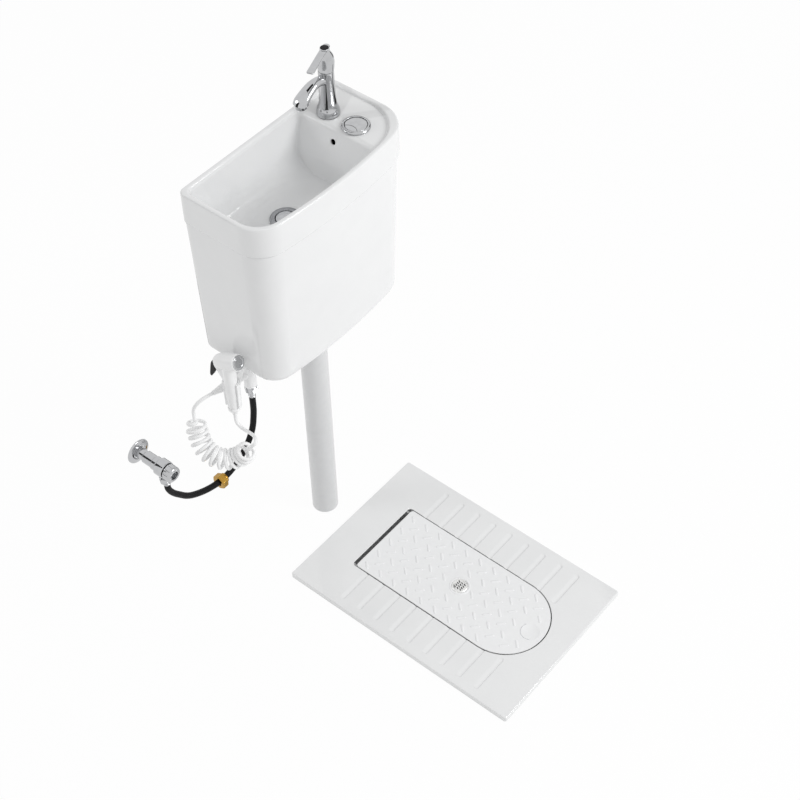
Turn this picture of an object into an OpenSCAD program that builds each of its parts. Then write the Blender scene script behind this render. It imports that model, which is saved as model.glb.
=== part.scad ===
// Squat toilet with a wall-hung tank, a hand basin on top of the tank and a bidet sprayer.
// Millimetres. Origin on the flush pipe's axis at the finished floor, +X right along the wall,
// +Y into the wall, +Z up.

/* [Tank] */
// Height of the basin's rim above the floor
rim_h = 1007; // [970:1:1050]
// Height of the basin top's outside band
band_h = 67; // [60:1:76]
// Height of the tank under the band
tank_h = 340; // [320:1:370]
// Width of the tank at its top
tank_w = 409; // [400:1:430]
// Depth of the tank from the wall to the middle of its front
tank_d = 207; // [200:1:225]
// How far the front bulges past its corners
tank_bow = 17; // [12:1:22]
// Sideways offset of the tank's middle from the pipe
tank_x = -6.5; // [-10:0.5:-4]
// Distance from the pipe's axis to the wall
wall_y = 93; // [90:1:98]
// How far the sides and the front lean in towards the bottom
draft = 11; // [6:1:14]
// Radius of the tank's bottom edge
foot_r = 38; // [30:1:42]
// Radius of the front left corner
corner_l = 60; // [50:1:70]
// Radius of the front right corner
corner_r = 76; // [64:1:84]
// Radius of the back corners
corner_b = 15; // [12:1:20]
// Wall of the tank
tank_t = 8; // [7:0.5:9]
// Radius of the wall fixing holes
fix_r = 4.5; // [3.5:0.5:6]
// Spacing of the wall fixing holes
fix_s = 240; // [200:5:260]
// Depth of the fixing holes below the tank's top
fix_drop = 78; // [74:1:90]

/* [Basin top] */
// How far the band stands out past the tank
proud = 3; // [2:0.5:4]
// Thickness of the rim
rim_t = 11; // [10:0.5:13]
// Radius on the rim's top edges
rim_r = 4; // [3:0.5:5]
// Wall of the bowl
bowl_t = 8; // [7:0.5:9]
// Depth of the bowl below the rim
bowl_h = 117; // [110:1:122]
// Width of the deck that carries the tap
deck_w = 109; // [106:1:114]
// Depth of the deck below the rim
deck_drop = 6; // [5:0.5:9]
// Thickness of the deck
deck_t = 9; // [8:0.5:11]
// Radius of the overflow hole
over_r = 6; // [5:0.5:7]
// Depth of the locating lip inside the tank
lip_h = 12; // [8:1:16]

/* [Basin waste] */
// Radius of the waste flange
waste_r = 30; // [28:0.5:33]
// Radius of the waste tail
waste_tail_r = 20; // [19:0.5:21]
// Radius of the waste plug
plug_r = 19; // [18:0.5:20]
// How far the plug pops up
plug_lift = 8; // [6:1:10]

/* [Tap] */
// Distance of the tap's axis from the band's right end
tap_in = 78; // [76:1:81]
// Distance of the tap's axis from the wall
tap_wall = 59; // [56:1:62]
// Radius of the tap's base
tap_base_r = 22.5; // [20:0.5:24]
// Radius of the tap's column
tap_r = 14.5; // [13:0.5:16]
// Height of the column above the deck
tap_h = 96; // [92:1:104]
// Height of the lever's hub
hub_h = 61; // [54:1:66]
// Radius of the hub's top
hub_top_r = 9.5; // [8.5:0.5:10.5]
// Reach of the spout
spout_reach = 73; // [66:1:80]
// Width of the spout's end
spout_w = 30; // [27:1:33]
// Radius of the aerator
aerator_r = 11; // [10:0.5:12]
// Width of the lever's blade
blade_w = 15; // [12:1:17]
// Length of the lever's blade
blade_l = 48; // [40:1:54]

/* [Flush button] */
// Distance of the button's axis from the band's right end
button_in = 77; // [74:1:80]
// Distance of the button's axis from the wall
button_wall = 125; // [122:1:128]
// Radius of the button's bezel
bezel_r = 27.5; // [26:0.5:29]
// Height of the bezel above the deck
bezel_h = 5; // [4:0.5:6]
// Radius of the two buttons together
button_r = 21.5; // [20:0.5:22.5]
// Travel of the buttons
button_travel = 5; // [4:0.5:6]

/* [Flush pipe] */
// Outside radius of the flush pipe
pipe_r = 28.5; // [27:0.5:30]
// Wall of the flush pipe
pipe_t = 2.5; // [2:0.25:3]
// Bend radius of the elbow under the floor
elbow_bend = 52; // [50:1:56]

/* [Pan] */
// Width of the pan
pan_w = 400; // [390:1:430]
// Length of the pan
pan_l = 577; // [570:1:600]
// Distance from the pipe's axis to the pan's back edge
pan_gap = 77; // [75:1:84]
// Thickness of the pan's plate
plate_t = 12; // [11:0.5:14]
// Radius of the plate's corners
plate_r = 5; // [3:0.5:10]
// Half width of the opening
open_w = 98.5; // [94:0.5:102]
// Distance from the pan's back edge to the opening
open_back = 87; // [84:1:94]
// Length of the opening
open_l = 436; // [425:1:440]
// Depth of the bowl below the floor
pan_h = 170; // [165:1:185]
// Wall of the pan's bowl
pan_t = 9; // [8:0.5:10]
// Radius of the waste outlet
outlet_r = 52; // [48:1:55]
// Length of the waste outlet
outlet_l = 45; // [35:1:55]
// Number of ribs on each foot rest
ribs = 9; // [5:1:9]
// Spacing of the ribs
rib_pitch = 44.5; // [40:0.5:45.5]
// Width of a rib
rib_w = 13; // [11:0.5:15]
// Height of a rib
rib_h = 3.5; // [2.5:0.5:4.5]
// Length of a rib
rib_l = 78; // [66:1:84]

/* [Cover] */
// Gap between the cover and the opening's sides
cover_gap = 2; // [1.5:0.25:3]
// Gap behind the cover
cover_back_gap = 8.5; // [7:0.5:10]
// Thickness of the cover
cover_t = 8; // [7:0.5:9]
// Width of the ledge that carries the cover
ledge_w = 9; // [8:0.5:11]
// Length of a raised stroke
stroke_l = 20; // [16:1:22]
// Width of a raised stroke
stroke_w = 5; // [4:0.5:6]
// Height of a raised stroke
stroke_h = 1.4; // [1:0.2:2]
// Radius of the strainer
strainer_r = 18; // [16:0.5:20]
// Radius of the finger scoop
scoop_r = 21; // [18:1:24]
// Depth of the finger scoop
scoop_d = 4; // [3:0.5:5]

/* [Water inlet] */
// Distance of the fill valve from the tank's left end
fill_in = 51; // [49:1:55]
// Distance of the fill valve from the wall
fill_wall = 71; // [68:1:76]
// Radius of the fill valve's threaded shank
shank_r = 10.2; // [9.5:0.1:10.5]
// Distance of the stop valve from the pipe's axis
stop_x = 406; // [405:1:406]
// Height of the stop valve above the floor
stop_h = 483; // [480:1:486]
// Length of the stop valve from the wall to its knob
stop_l = 81; // [81:1:84]
// Radius of the stop valve's wall plate
plate_valve_r = 26.5; // [25:0.5:30]
// Radius of the stop valve's knob
knob_r = 16.5; // [15:0.5:18]
// Outside radius of the black hose
hose_r = 6.5; // [6:0.25:6.75]

/* [Sprayer] */
// Radius of the sprayer's head
head_r = 17; // [16:0.5:18]
// Length of the sprayer's head
head_l = 62; // [58:1:66]
// Radius of the handle's upper end
grip_r = 14; // [13:0.5:14.5]
// Radius of the handle's lower end
grip_end_r = 11.5; // [11:0.5:12]
// Length of the handle
grip_l = 118; // [114:1:120]
// Distance of the sprayer from the tank's left end
sprayer_out = 16; // [15:0.5:20]
// Tilt of the head above the horizontal
head_tilt = 22; // [18:1:26]
// Turn of the sprayer towards the tank
sprayer_turn = 7; // [4:1:10]
// Outside radius of the spiral hose
spiral_r = 3.6; // [3.2:0.1:3.7]
// Radius from the spiral's middle to the hose's middle
spiral_coil_r = 18.5; // [17:0.5:19]
// Number of curls
spiral_turns = 13; // [10:1:13]

/* [Hidden] */
$fn = 48;
e = 0.01;
fit = 0.3;
slide_fit = 0.4;
lip_gap = 1;
z_part = rim_h - band_h;
z_tank = z_part - tank_h;
z_deck = rim_h - deck_drop;
z_bowl = rim_h - bowl_h;
tank_x0 = tank_x - tank_w / 2;
tank_x1 = tank_x + tank_w / 2;
tank_yf = wall_y - tank_d;
lid_x0 = tank_x0 - proud;
lid_x1 = tank_x1 + proud;
lid_yf = tank_yf - proud;
bow_r = (pow(tank_w / 2, 2) + tank_bow * tank_bow) / (2 * tank_bow);
basin_x1 = lid_x1 - deck_w;
drain = [(lid_x0 + rim_t + basin_x1) / 2, (wall_y + lid_yf) / 2];
tap = [lid_x1 - tap_in, wall_y - tap_wall];
button = [lid_x1 - button_in, wall_y - button_wall];
fill = [tank_x0 + fill_in, wall_y - fill_wall];
z_tee = z_tank - 38;
tee_l = 50;
tee_out = z_tee - 17;
tee_turn = 168;
tee_reach = 36;
cone_l = 50;
hose_nut_h = 16;
ferrule_h = 18;
stop = [-stop_x, wall_y, stop_h];
stop_y = wall_y - 71;
stop_tail = 45;
sprayer = [tank_x0 - sprayer_out, fill.y - 19, z_tank + 44];
z_grip = sprayer.z - 6 - grip_l;
tail_l = 24;
open_y0 = -pan_gap - open_back;
open_yc = open_y0 - open_l + open_w;
z_pipe = z_tank - 42;
socket_h = 30;
horn_z = -socket_h - elbow_bend;
horn_y = -elbow_bend - 18;
z_cover = plate_t - cover_t;
cover_w = open_w - cover_gap;
cover_y0 = open_y0 - cover_back_gap;
strainer_y = (cover_y0 + open_yc - cover_w) / 2 + 4;
scoop_y = open_yc - cover_w + scoop_r + 10;
tail_r = 29;
tower_r = 34;
seat_z = z_tank + tank_t + 2;

// Points of the black hose that hangs between the stop valve and the tee
function from(o, pts) = [for (p = pts) o + p];
supply_route = concat(
  from([stop.x, stop_y, stop_h - stop_tail],
    [[0, 0, 0], [1, 0, -16], [9, 0, -35], [23, 0, -55], [50, 0, -85], [93, 0, -109], [137, 0, -119]]),
  from([fill.x, fill.y, z_tee - tee_l - hose_nut_h - ferrule_h],
    [[-69, 0, -151], [-34, 0, -127], [-11, 0, -93], [-2, 0, -54], [0, 0, -28], [0, 0, 0]]));
// Points of the spiral hose: from the tee, through the middle of its curls, to the handle
tee_axis = [cos(tee_turn), sin(tee_turn), 0];
tee_mouth = [fill.x, fill.y, tee_out];
lead_tee = from(tee_mouth, [(tee_reach + cone_l) * tee_axis, (tee_reach + cone_l + 7) * tee_axis,
  (tee_reach + cone_l + 14) * tee_axis, [-108, 26, -4], [-116, 34, -14], [-118, 42, -28], [-115, 44, -39],
  [-111.7, 41.9, -47]]);
curl_route = from(tee_mouth, [[-114, 40, -51], [-130, 27, -79], [-137, 4, -104], [-131, -24, -119],
  [-114, -49, -119], [-100, -68, -103], [-97, -84, -77]]);
curl_normal = [0.66, 0.56, -0.5];
lead_grip = concat(
  from(tee_mouth, [[-96.4, -87.6, -71], [-95, -92, -64], [-91, -94, -59], [-84, -88, -58], [-76, -72, -65],
    [-70, -52, -75]]),
  from([sprayer.x, sprayer.y, z_grip - tail_l], [[0, -13, -31], [0, -2, -24], [0, 0, -14], [0, 0, -7], [0, 0, 0]]));
// Points of the hose inside the tank, from the fill valve to the tap
feed_route = concat(
  from([fill.x, fill.y, z_part - 130], [[32, 0, 0], [43, 0, 0], [56, 4, 1], [100, 24, -4], [150, 38, -7]]),
  from([tap.x, tap.y, z_deck - 66], [[-73, 26, -129], [-27, 14, -109], [-7, 0, -69], [0, 0, -14], [0, 0, 0]]));
// Points of the cable from the flush button to the flush valve
cable_route = concat(
  from([button.x, button.y, z_deck - 60], [[0, 0, 0], [-1, 0, -14], [-7, -2, -39], [-24, 0, -61]]),
  from([24, -6, z_part - 136], [[42, -18, 56], [14, -8, 34], [2, -2, 14], [0, 0, 0]]));

// Outlines and sweeps

function arc(c, r, a0, a1, n) =
  [for (i = [0:n]) let (a = a0 + (a1 - a0) * i / n) c + r * [cos(a), sin(a)]];

// Outline with a bulging front: rl and rr round its front corners, rb its back ones
function bowed(x0, x1, yf, yb, rl, rr, rb) =
  let (c = [tank_x, yf + bow_r],
       l = [x0 + rl, c.y - sqrt(pow(bow_r - rl, 2) - pow(x0 + rl - c.x, 2))],
       r = [x1 - rr, c.y - sqrt(pow(bow_r - rr, 2) - pow(x1 - rr - c.x, 2))],
       la = 360 + atan2(l.y - c.y, l.x - c.x),
       ra = 360 + atan2(r.y - c.y, r.x - c.x))
  concat(arc(l, rl, 180, la, 11), [for (i = [1:9]) arc(c, bow_r, la, ra, 10)[i]], arc(r, rr, ra, 360, 11),
         arc([x1 - rb, yb - rb], rb, 0, 90, 5), arc([x0 + rb, yb - rb], rb, 90, 180, 5));

// The tank's outline, drawn in by i at the sides and the front and by b at the back
function tank_plan(i, b) =
  bowed(tank_x0 + i, tank_x1 - i, tank_yf + i, wall_y - b, corner_l - i, corner_r - i, corner_b);

function lid_plan(i) =
  bowed(lid_x0 + i, lid_x1 - i, lid_yf + i, wall_y - i, corner_l - i, corner_r - i, max(corner_b - i, 4));

// The bowl's outline, drawn in by i from its mouth
function bowl_plan(i) =
  bowed(lid_x0 + rim_t + i, basin_x1 - 0.6 * i, lid_yf + rim_t + i, wall_y - rim_t - i,
        max(corner_l - rim_t - i, 9), 16, 20 - i / 4);

// Outline of the pan's opening: square at the back, round at the front
function slot_plan(w, y0, yc, r) =
  concat(arc([0, yc], w, 180, 360, 28), arc([w - r, y0 - r], r, 0, 90, 4), arc([r - w, y0 - r], r, 90, 180, 4));

function at_z(pts, z) = [for (p = pts) [p.x, p.y, z]];
function sloped(pts, z, k) = [for (p = pts) [p.x, p.y, z + k * (p.y - open_yc)]];
function unit(v) = v / norm(v);
function last(p) = p[len(p) - 1];
function tangents(p) = [for (i = [0:len(p) - 1]) unit(p[min(i + 1, len(p) - 1)] - p[max(i - 1, 0)])];
function carried(t, n, i = 0) =
  i >= len(t) ? [] : let (m = unit(n - (n * t[i]) * t[i])) concat([m], carried(t, m, i + 1));
function ring(p, t, n, r, k) =
  let (b = cross(t, n)) [for (i = [0:k - 1]) p + r * (cos(360 * i / k) * n + sin(360 * i / k) * b)];

// A smooth curve through points, with n steps between neighbours
function curve(p, n) =
  concat([for (i = [0:len(p) - 2], k = [0:n - 1])
    let (t = k / n, a = i == 0 ? 2 * p[0] - p[1] : p[i - 1], b = p[i], c = p[i + 1],
         d = i == len(p) - 2 ? 2 * c - b : p[i + 2])
    (2 * b + (c - a) * t + (2 * a - 5 * b + 4 * c - d) * t * t + (3 * b - a - 3 * c + d) * t * t * t) / 2],
    [last(p)]);

// Lengths along a list of points
function sums(p, i = 0, s = 0) =
  i == len(p) - 1 ? [s] : concat([s], sums(p, i + 1, s + norm(p[i + 1] - p[i])));

// Solid through closed rings of equal counts
module loft(rings) {
  n = len(rings[0]);
  m = len(rings);
  polyhedron(points = [for (r = rings) each r],
    faces = concat([[for (i = [0:n - 1]) i]], [[for (i = [n - 1:-1:0]) (m - 1) * n + i]],
      [for (j = [0:m - 2], i = [0:n - 1]) each
        let (a = j * n + i, b = j * n + (i + 1) % n) [[a, a + n, b + n], [a, b + n, b]]]));
}

module sweep(path, r, k, n0 = [0, 0.2, 1]) {
  t = tangents(path);
  n = carried(t, n0);
  loft([for (i = [0:len(path) - 1]) ring(path[i], t[i], n[i], r, k)]);
}

module tube(r, h, bore) {
  difference() {
    cylinder(r = r, h = h);
    translate([0, 0, -e]) cylinder(r = bore, h = h + 2 * e);
  }
}

// Hexagon measured across its flats
module hex(flats, h) {
  cylinder(r = flats / 2 / cos(30), h = h, $fn = 6);
}

// Tank and basin

module tank_outside() {
  loft(concat(
    [for (a = [90, 68, 46, 24, 0])
      at_z(tank_plan(draft + foot_r * (1 - cos(a)), foot_r / 4 * (1 - cos(a))), z_tank + foot_r * (1 - sin(a)))],
    [at_z(tank_plan(0, 0), z_part)]));
}

module tank_inside() {
  r = foot_r - tank_t;
  loft(concat(
    [for (a = [90, 60, 30, 0])
      at_z(tank_plan(draft + tank_t + r * (1 - cos(a)), tank_t + r / 4 * (1 - cos(a))), seat_z + r * (1 - sin(a)))],
    [at_z(tank_plan(tank_t, tank_t), z_part + e)]));
}

module tank() {
  color("white") difference() {
    union() {
      tank_outside();
      translate([fill.x, fill.y, z_tank]) cylinder(r = 19, h = tank_t);
    }
    tank_inside();
    translate([fill.x, fill.y, seat_z]) cylinder(r = 20, h = 16);
    translate([0, 0, z_tank - e]) cylinder(r = tail_r + 1.5, h = 40);
    translate([fill.x, fill.y, z_tank - e]) cylinder(r = shank_r + 1.3, h = 40);
    for (s = [-1, 1]) translate([tank_x + s * fix_s / 2, wall_y + e, z_part - fix_drop])
      rotate([90, 0, 0]) cylinder(r = fix_r, h = tank_t + 2);
  }
}

module band() {
  loft([at_z(lid_plan(1), z_part), at_z(lid_plan(0), z_part + 2), at_z(lid_plan(0), rim_h - rim_r),
    at_z(lid_plan(rim_r * 0.3), rim_h - rim_r * 0.3), at_z(lid_plan(rim_r), rim_h)]);
}

module bowl_inside() {
  loft([at_z(bowl_plan(33), z_bowl), at_z(bowl_plan(24), z_bowl + 3), at_z(bowl_plan(18), z_bowl + 11),
    at_z(bowl_plan(rim_t - 2), z_part), at_z(bowl_plan(0), rim_h + 1)]);
}

module bowl_outside() {
  t = bowl_t;
  loft([at_z(bowl_plan(33 - t / 2), z_bowl - t), at_z(bowl_plan(17), z_bowl - t / 2),
    at_z(bowl_plan(18 - t), z_bowl + 9), at_z(bowl_plan(rim_t - 2 - t), z_part),
    at_z(bowl_plan(-t + 2), rim_h - 8)]);
}

module basin_top() {
  color("white") difference() {
    union() {
      difference() {
        band();
        translate([0, 0, z_part - e]) linear_extrude(z_deck - deck_t - z_part + e) polygon(lid_plan(rim_t + 6));
      }
      difference() {
        translate([0, 0, z_part - lip_h]) linear_extrude(lip_h + 1)
          polygon(tank_plan(tank_t + lip_gap, tank_t + lip_gap));
        translate([0, 0, z_part - lip_h - e]) linear_extrude(lip_h + 2) polygon(lid_plan(rim_t + 6));
      }
      bowl_outside();
    }
    bowl_inside();
    translate([0, 0, z_deck]) linear_extrude(deck_drop + 1) polygon(
      bowed(lid_x0 + rim_t, lid_x1 - rim_t, lid_yf + rim_t, wall_y - rim_t, corner_l - rim_t, corner_r + 18, 14));
    translate([drain.x, drain.y, z_bowl - 20]) cylinder(r = waste_tail_r + 0.5, h = 40);
    translate([tap.x, tap.y, z_deck - 30]) cylinder(r = shank_r + 1, h = 40);
    translate([button.x, button.y, z_deck - 30]) cylinder(r = bezel_r - 3.5, h = 40);
    translate([basin_x1 - 20, drain.y, z_deck - 18]) rotate([0, 90, 0]) cylinder(r = over_r, h = 34);
  }
}

module waste_flange() {
  color("gray") translate([drain.x, drain.y, z_bowl + 1.2]) {
    rotate_extrude() polygon([[waste_tail_r - 4, -46], [waste_tail_r, -46], [waste_tail_r, 0],
      [waste_r, 0], [waste_r, 1.4], [waste_r - 2, 2.4], [plug_r + 0.8, 3], [plug_r + 0.8, -1.2],
      [waste_tail_r - 4, -1.2]]);
    difference() {
      translate([-waste_tail_r + 3, -4.5, -20]) cube([2 * waste_tail_r - 6, 9, 6]);
      translate([0, 0, -21]) cylinder(r = 3.06, h = 8);
    }
  }
}

module waste_plug() {
  color("silver") translate([drain.x, drain.y, z_bowl + 1.2]) {
    rotate_extrude() polygon([[0, -0.9], [plug_r - 1, -0.9], [plug_r, 0], [plug_r, 1.6], [plug_r - 1, 2.6],
      [0, 3.2]]);
    translate([0, 0, -26]) cylinder(r = 3, h = 26);
  }
}

module waste_seal() {
  color("dimgray") translate([drain.x, drain.y, 0]) {
    translate([0, 0, z_bowl]) tube(waste_r - 1, 1.2, waste_tail_r);
    translate([0, 0, z_bowl - bowl_t - 3]) tube(waste_r - 2, 3, waste_tail_r);
  }
}

module waste_nut() {
  color("gray") translate([drain.x, drain.y, z_bowl - bowl_t - 14]) difference() {
    hex(2 * waste_r - 7, 11);
    translate([0, 0, -e]) cylinder(r = waste_tail_r, h = 12);
  }
}

// Tap

// Rings of the spout: x and z of the middle, half thickness, half width and the slope of each
function spout_ring(x, z, t, w, a) =
  [for (i = [0:19]) let (u = cos(18 * i), v = sin(18 * i),
      s = sign(v) * pow(abs(v), 0.7) * w, q = sign(u) * pow(abs(u), 0.8) * t)
    [tap.x - x + q * sin(a), tap.y + s, z_deck + z + q * cos(a)]];

module spout() {
  r = spout_reach;
  w = spout_w / 2;
  loft([spout_ring(0, 72, 9, w * 0.68, 50), spout_ring(10, 81, 9, w * 0.72, 35),
    spout_ring(22, 86, 8.5, w * 0.8, 12), spout_ring(r * 0.48, 86, 8, w * 0.86, -12),
    spout_ring(r * 0.66, 81, 8, w * 0.92, -28), spout_ring(r * 0.82, 74.5, 8.5, w * 0.97, -42),
    spout_ring(r * 0.93, 68.5, 10, w, -64), spout_ring(r * 0.97, 63, 11.5, w, -90)]);
}

module tap_body() {
  color("silver") difference() {
    union() {
      translate([tap.x, tap.y, z_deck + 1]) rotate_extrude() polygon([[0, 0], [tap_base_r, 0],
        [tap_base_r, 3], [tap_base_r - 0.8, 6.5], [tap_base_r - 3, 11], [tap_base_r - 5, 16],
        [tap_r + 1.6, 23], [tap_r + 0.7, 32], [tap_r + 0.2, 48], [tap_r, 64], [tap_r, tap_h - 2],
        [tap_r - 1, tap_h - 1], [0, tap_h - 1]]);
      translate([tap.x, tap.y, z_deck - 52]) cylinder(r = shank_r, h = 54);
      spout();
    }
    translate([tap.x, tap.y, z_deck - 53]) cylinder(r = 5, h = 118);
    translate([tap.x, tap.y, z_deck + 64]) cylinder(r = 9.5, h = tap_h);
  }
}

module tap_aerator() {
  color("silver") translate([tap.x - spout_reach * 0.97, tap.y, z_deck + 54]) difference() {
    cylinder(r = aerator_r, h = 9);
    translate([0, 0, -e]) cylinder(r = aerator_r - 2, h = 3);
  }
}

module tap_cartridge() {
  color("gainsboro") translate([tap.x, tap.y, z_deck + 64]) difference() {
    union() {
      cylinder(r = 9.5, h = tap_h - 64);
      cylinder(r = 7.5, h = tap_h - 58);
    }
    translate([0, 0, 12]) cylinder(r = 4.06, h = tap_h);
  }
}

module tap_stem() {
  color("gold") translate([tap.x, tap.y, z_deck + 78]) cylinder(r = 4, h = tap_h - 50);
}

module tap_lever() {
  z0 = z_deck + tap_h + 0.6;
  r = tap_r + 0.5;
  color("silver") difference() {
    union() {
      translate([tap.x, tap.y, z0]) rotate_extrude() polygon([[0, 0], [r - 0.6, 0], [r, 1], [r + 0.4, hub_h * 0.2],
        [r + 0.2, hub_h * 0.4], [r - 1.2, hub_h * 0.58], [hub_top_r + 1.8, hub_h * 0.8],
        [hub_top_r + 0.3, hub_h - 3], [hub_top_r, hub_h - 0.8], [hub_top_r - 0.8, hub_h], [0, hub_h]]);
      translate([tap.x - 3, tap.y, z0 + hub_h - 4]) rotate([0, -137, 0]) blade();
    }
    translate([tap.x, tap.y, z0 - e]) cylinder(r = 8.6, h = 8);
    translate([tap.x, tap.y, z0 - e]) cylinder(r = 4, h = tap_h - 50 - 18.6);
    translate([tap.x, tap.y, z0 + hub_h - 1]) cylinder(r = hub_top_r - 1.4, h = 2);
  }
}

// The lever's blade along +Z, with a round end
module blade() {
  translate([-2.2, 0, 0]) rotate([90, 0, 90]) linear_extrude(4.4) polygon(concat(
    [[blade_w * 0.42, 0]], arc([0, blade_l - blade_w / 2 + 3], blade_w / 2, -12, 192, 10), [[-blade_w * 0.42, 0]]));
}

module tap_cap() {
  color("dimgray") translate([tap.x, tap.y, z_deck + tap_h + 0.6 + hub_h - 1]) cylinder(r = hub_top_r - 1.4, h = 1.3);
}

module tap_gasket() {
  color("black") translate([tap.x, tap.y, z_deck]) tube(tap_base_r - 0.5, 1, shank_r + 0.5);
}

module tap_nut() {
  color("goldenrod") translate([tap.x, tap.y, z_deck - deck_t]) difference() {
    union() {
      translate([0, 0, -3]) cylinder(r = 18, h = 3);
      translate([0, 0, -13]) hex(28, 10);
    }
    translate([0, 0, -14]) cylinder(r = shank_r, h = 15);
  }
}

module tap_feed_hose() {
  color("lightgray") {
    difference() {
      sweep(curve(feed_route, 3), 5, 8);
      translate([tap.x, tap.y, z_deck - 66 - e]) cylinder(r = 9, h = 4);
    }
    translate([tap.x, tap.y, z_deck - 66]) difference() {
      hex(25, 22);
      translate([0, 0, 12]) cylinder(r = shank_r, h = 12);
    }
  }
}

// Flush button

module button_bezel() {
  r = button_r + slide_fit;
  s = bezel_r - 4;
  color("silver") translate([button.x, button.y, z_deck]) {
    rotate_extrude() polygon([[r, -34], [s, -34], [s, 0], [bezel_r, 0], [bezel_r, bezel_h * 0.4],
      [bezel_r - 1.2, bezel_h * 0.8], [bezel_r - 3, bezel_h], [r + 0.6, bezel_h], [r, bezel_h - 0.6]]);
    translate([0, 0, -20]) difference() {
      cylinder(r = s - 0.5, h = 3);
      for (p = [8, -15]) translate([p, 0, -e]) cylinder(r = 3.08, h = 4);
    }
  }
}

module button_nut() {
  color("white") translate([button.x, button.y, z_deck - deck_t - 8]) difference() {
    cylinder(r = bezel_r, h = 8, $fn = 12);
    translate([0, 0, -e]) cylinder(r = bezel_r - 4, h = 9);
  }
}

// The two buttons share a round outline: the small one is where a second circle overlaps it
module button_outline(small) {
  if (small) intersection() {
    circle(r = button_r);
    translate([-button_r - 4, 0]) circle(r = 18);
  }
  else difference() {
    circle(r = button_r);
    translate([-button_r - 4, 0]) circle(r = 18.6);
  }
}

module button_full() {
  color("silver") translate([button.x, button.y, z_deck]) {
    translate([0, 0, bezel_h - 5]) linear_extrude(4.6) button_outline(false);
    translate([8, 0, -46]) cylinder(r = 3, h = 44 + bezel_h);
  }
}

module button_half() {
  color("silver") translate([button.x, button.y, z_deck]) {
    translate([0, 0, bezel_h - 5]) linear_extrude(4.2) button_outline(true);
    translate([-15, 0, -46]) cylinder(r = 3, h = 44 + bezel_h);
  }
}

// Each spring is one unbroken wire
function spring_path(x, y, z0, z1, r, n) =
  [for (i = [0:8 * n]) [x + r * cos(45 * i), y + r * sin(45 * i), z0 + (z1 - z0) * i / (8 * n)]];

module button_spring(x) {
  color("gray") sweep(spring_path(button.x + x, button.y, z_deck - 16.2, z_deck + bezel_h - 5.9, 4.6, 5),
    0.5, 6, [0, 0, 1]);
}

module full_spring() {
  button_spring(8);
}

module half_spring() {
  button_spring(-15);
}

module cable_box() {
  color("whitesmoke") translate([button.x, button.y, z_deck]) difference() {
    translate([-23.5, -13, -60]) cube([47, 26, 26]);
    for (p = [8, -15]) translate([p, 0, -52]) cylinder(r = 3.8, h = 20);
  }
}

module flush_cable() {
  color("black") sweep(curve(cable_route, 3), 3.5, 8, [1, 0, 0.1]);
}

// Flush valve

module flush_seat() {
  color("whitesmoke") difference() {
    union() {
      translate([0, 0, z_pipe]) cylinder(r = tail_r, h = seat_z + 7 - z_pipe);
      translate([0, 0, seat_z + 3]) cylinder(r = tail_r + 10, h = 4);
    }
    translate([0, 0, z_pipe - 1]) cylinder(r = 24, h = 70);
  }
}

module flush_gasket() {
  color("dimgray") {
    translate([0, 0, seat_z]) tube(tail_r + 9, 3, tail_r);
    translate([0, 0, z_tank - 3]) tube(tail_r + 9, 3, tail_r);
  }
}

module flush_nut() {
  color("whitesmoke") translate([0, 0, z_tank - 15]) difference() {
    cylinder(r = tail_r + 12, h = 12, $fn = 8);
    translate([0, 0, -e]) cylinder(r = tail_r, h = 13);
  }
}

module flush_tower() {
  h = z_part - 140 - seat_z;
  color("whitesmoke") translate([0, 0, seat_z + 7]) {
    for (a = [45:90:315]) rotate([0, 0, a]) translate([tower_r - 4, -6, 0]) cube([4, 12, 30]);
    translate([0, 0, 28]) difference() {
      cylinder(r = tower_r, h = h - 35);
      translate([0, 0, -1]) cylinder(r = tower_r - 2.5, h = h - 37);
      translate([0, 0, h - 40]) cylinder(r = 15.5, h = 10);
      for (a = [0:90:270]) rotate([0, 0, a]) translate([tower_r - 6, -9, 14]) cube([12, 18, h - 70]);
    }
    translate([24, -6, h - 7]) cylinder(r = 5, h = z_part - 136 - seat_z - h);
  }
}

module flush_float() {
  color("lightblue") translate([0, 0, seat_z + 7]) {
    difference() {
      union() {
        translate([0, 0, 2.2]) cylinder(r = 15, h = z_part - 112 - seat_z - 7);
        translate([0, 0, 2.2]) cylinder(r = 28, h = 3);
        translate([0, 0, 74]) cylinder(r = tower_r - 4, h = 60);
      }
      translate([0, 0, 1]) cylinder(r = 12.5, h = 300);
    }
  }
}

module flush_seal() {
  color("firebrick") translate([0, 0, seat_z + 7.2]) tube(28, 2, 20);
}

// Fill valve

module fill_valve() {
  z_head = z_part - 150;
  color("whitesmoke") translate([fill.x, fill.y, 0]) difference() {
    union() {
      translate([0, 0, z_tee]) cylinder(r = shank_r, h = seat_z + 6 - z_tee);
      translate([0, 0, seat_z + 2.5]) cylinder(r = shank_r + 8, h = 4);
      translate([0, 0, seat_z + 6]) cylinder(r = 9, h = z_head - seat_z);
      translate([0, 0, z_head]) cylinder(r = 19, h = 34);
      translate([0, 0, z_head + 20]) rotate([0, 90, 0]) cylinder(r = 5, h = 32);
      for (s = [-8, 4]) translate([s, 4, z_head + 30]) cube([4, 10, 19]);
    }
    translate([0, 0, z_tee - 1]) cylinder(r = 6, h = 40);
    translate([-10, 9, z_head + 44]) rotate([0, 90, 0]) cylinder(r = 1.5, h = 20);
  }
}

module fill_washer() {
  color("dimgray") translate([fill.x, fill.y, 0]) {
    translate([0, 0, seat_z]) tube(shank_r + 7, 2.5, shank_r);
    translate([0, 0, z_tank - 2]) tube(shank_r + 6, 2, shank_r);
  }
}

module fill_nut() {
  color("whitesmoke") translate([fill.x, fill.y, z_tank - 12]) difference() {
    hex(30, 10);
    translate([0, 0, -e]) cylinder(r = shank_r, h = 11);
  }
}

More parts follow.
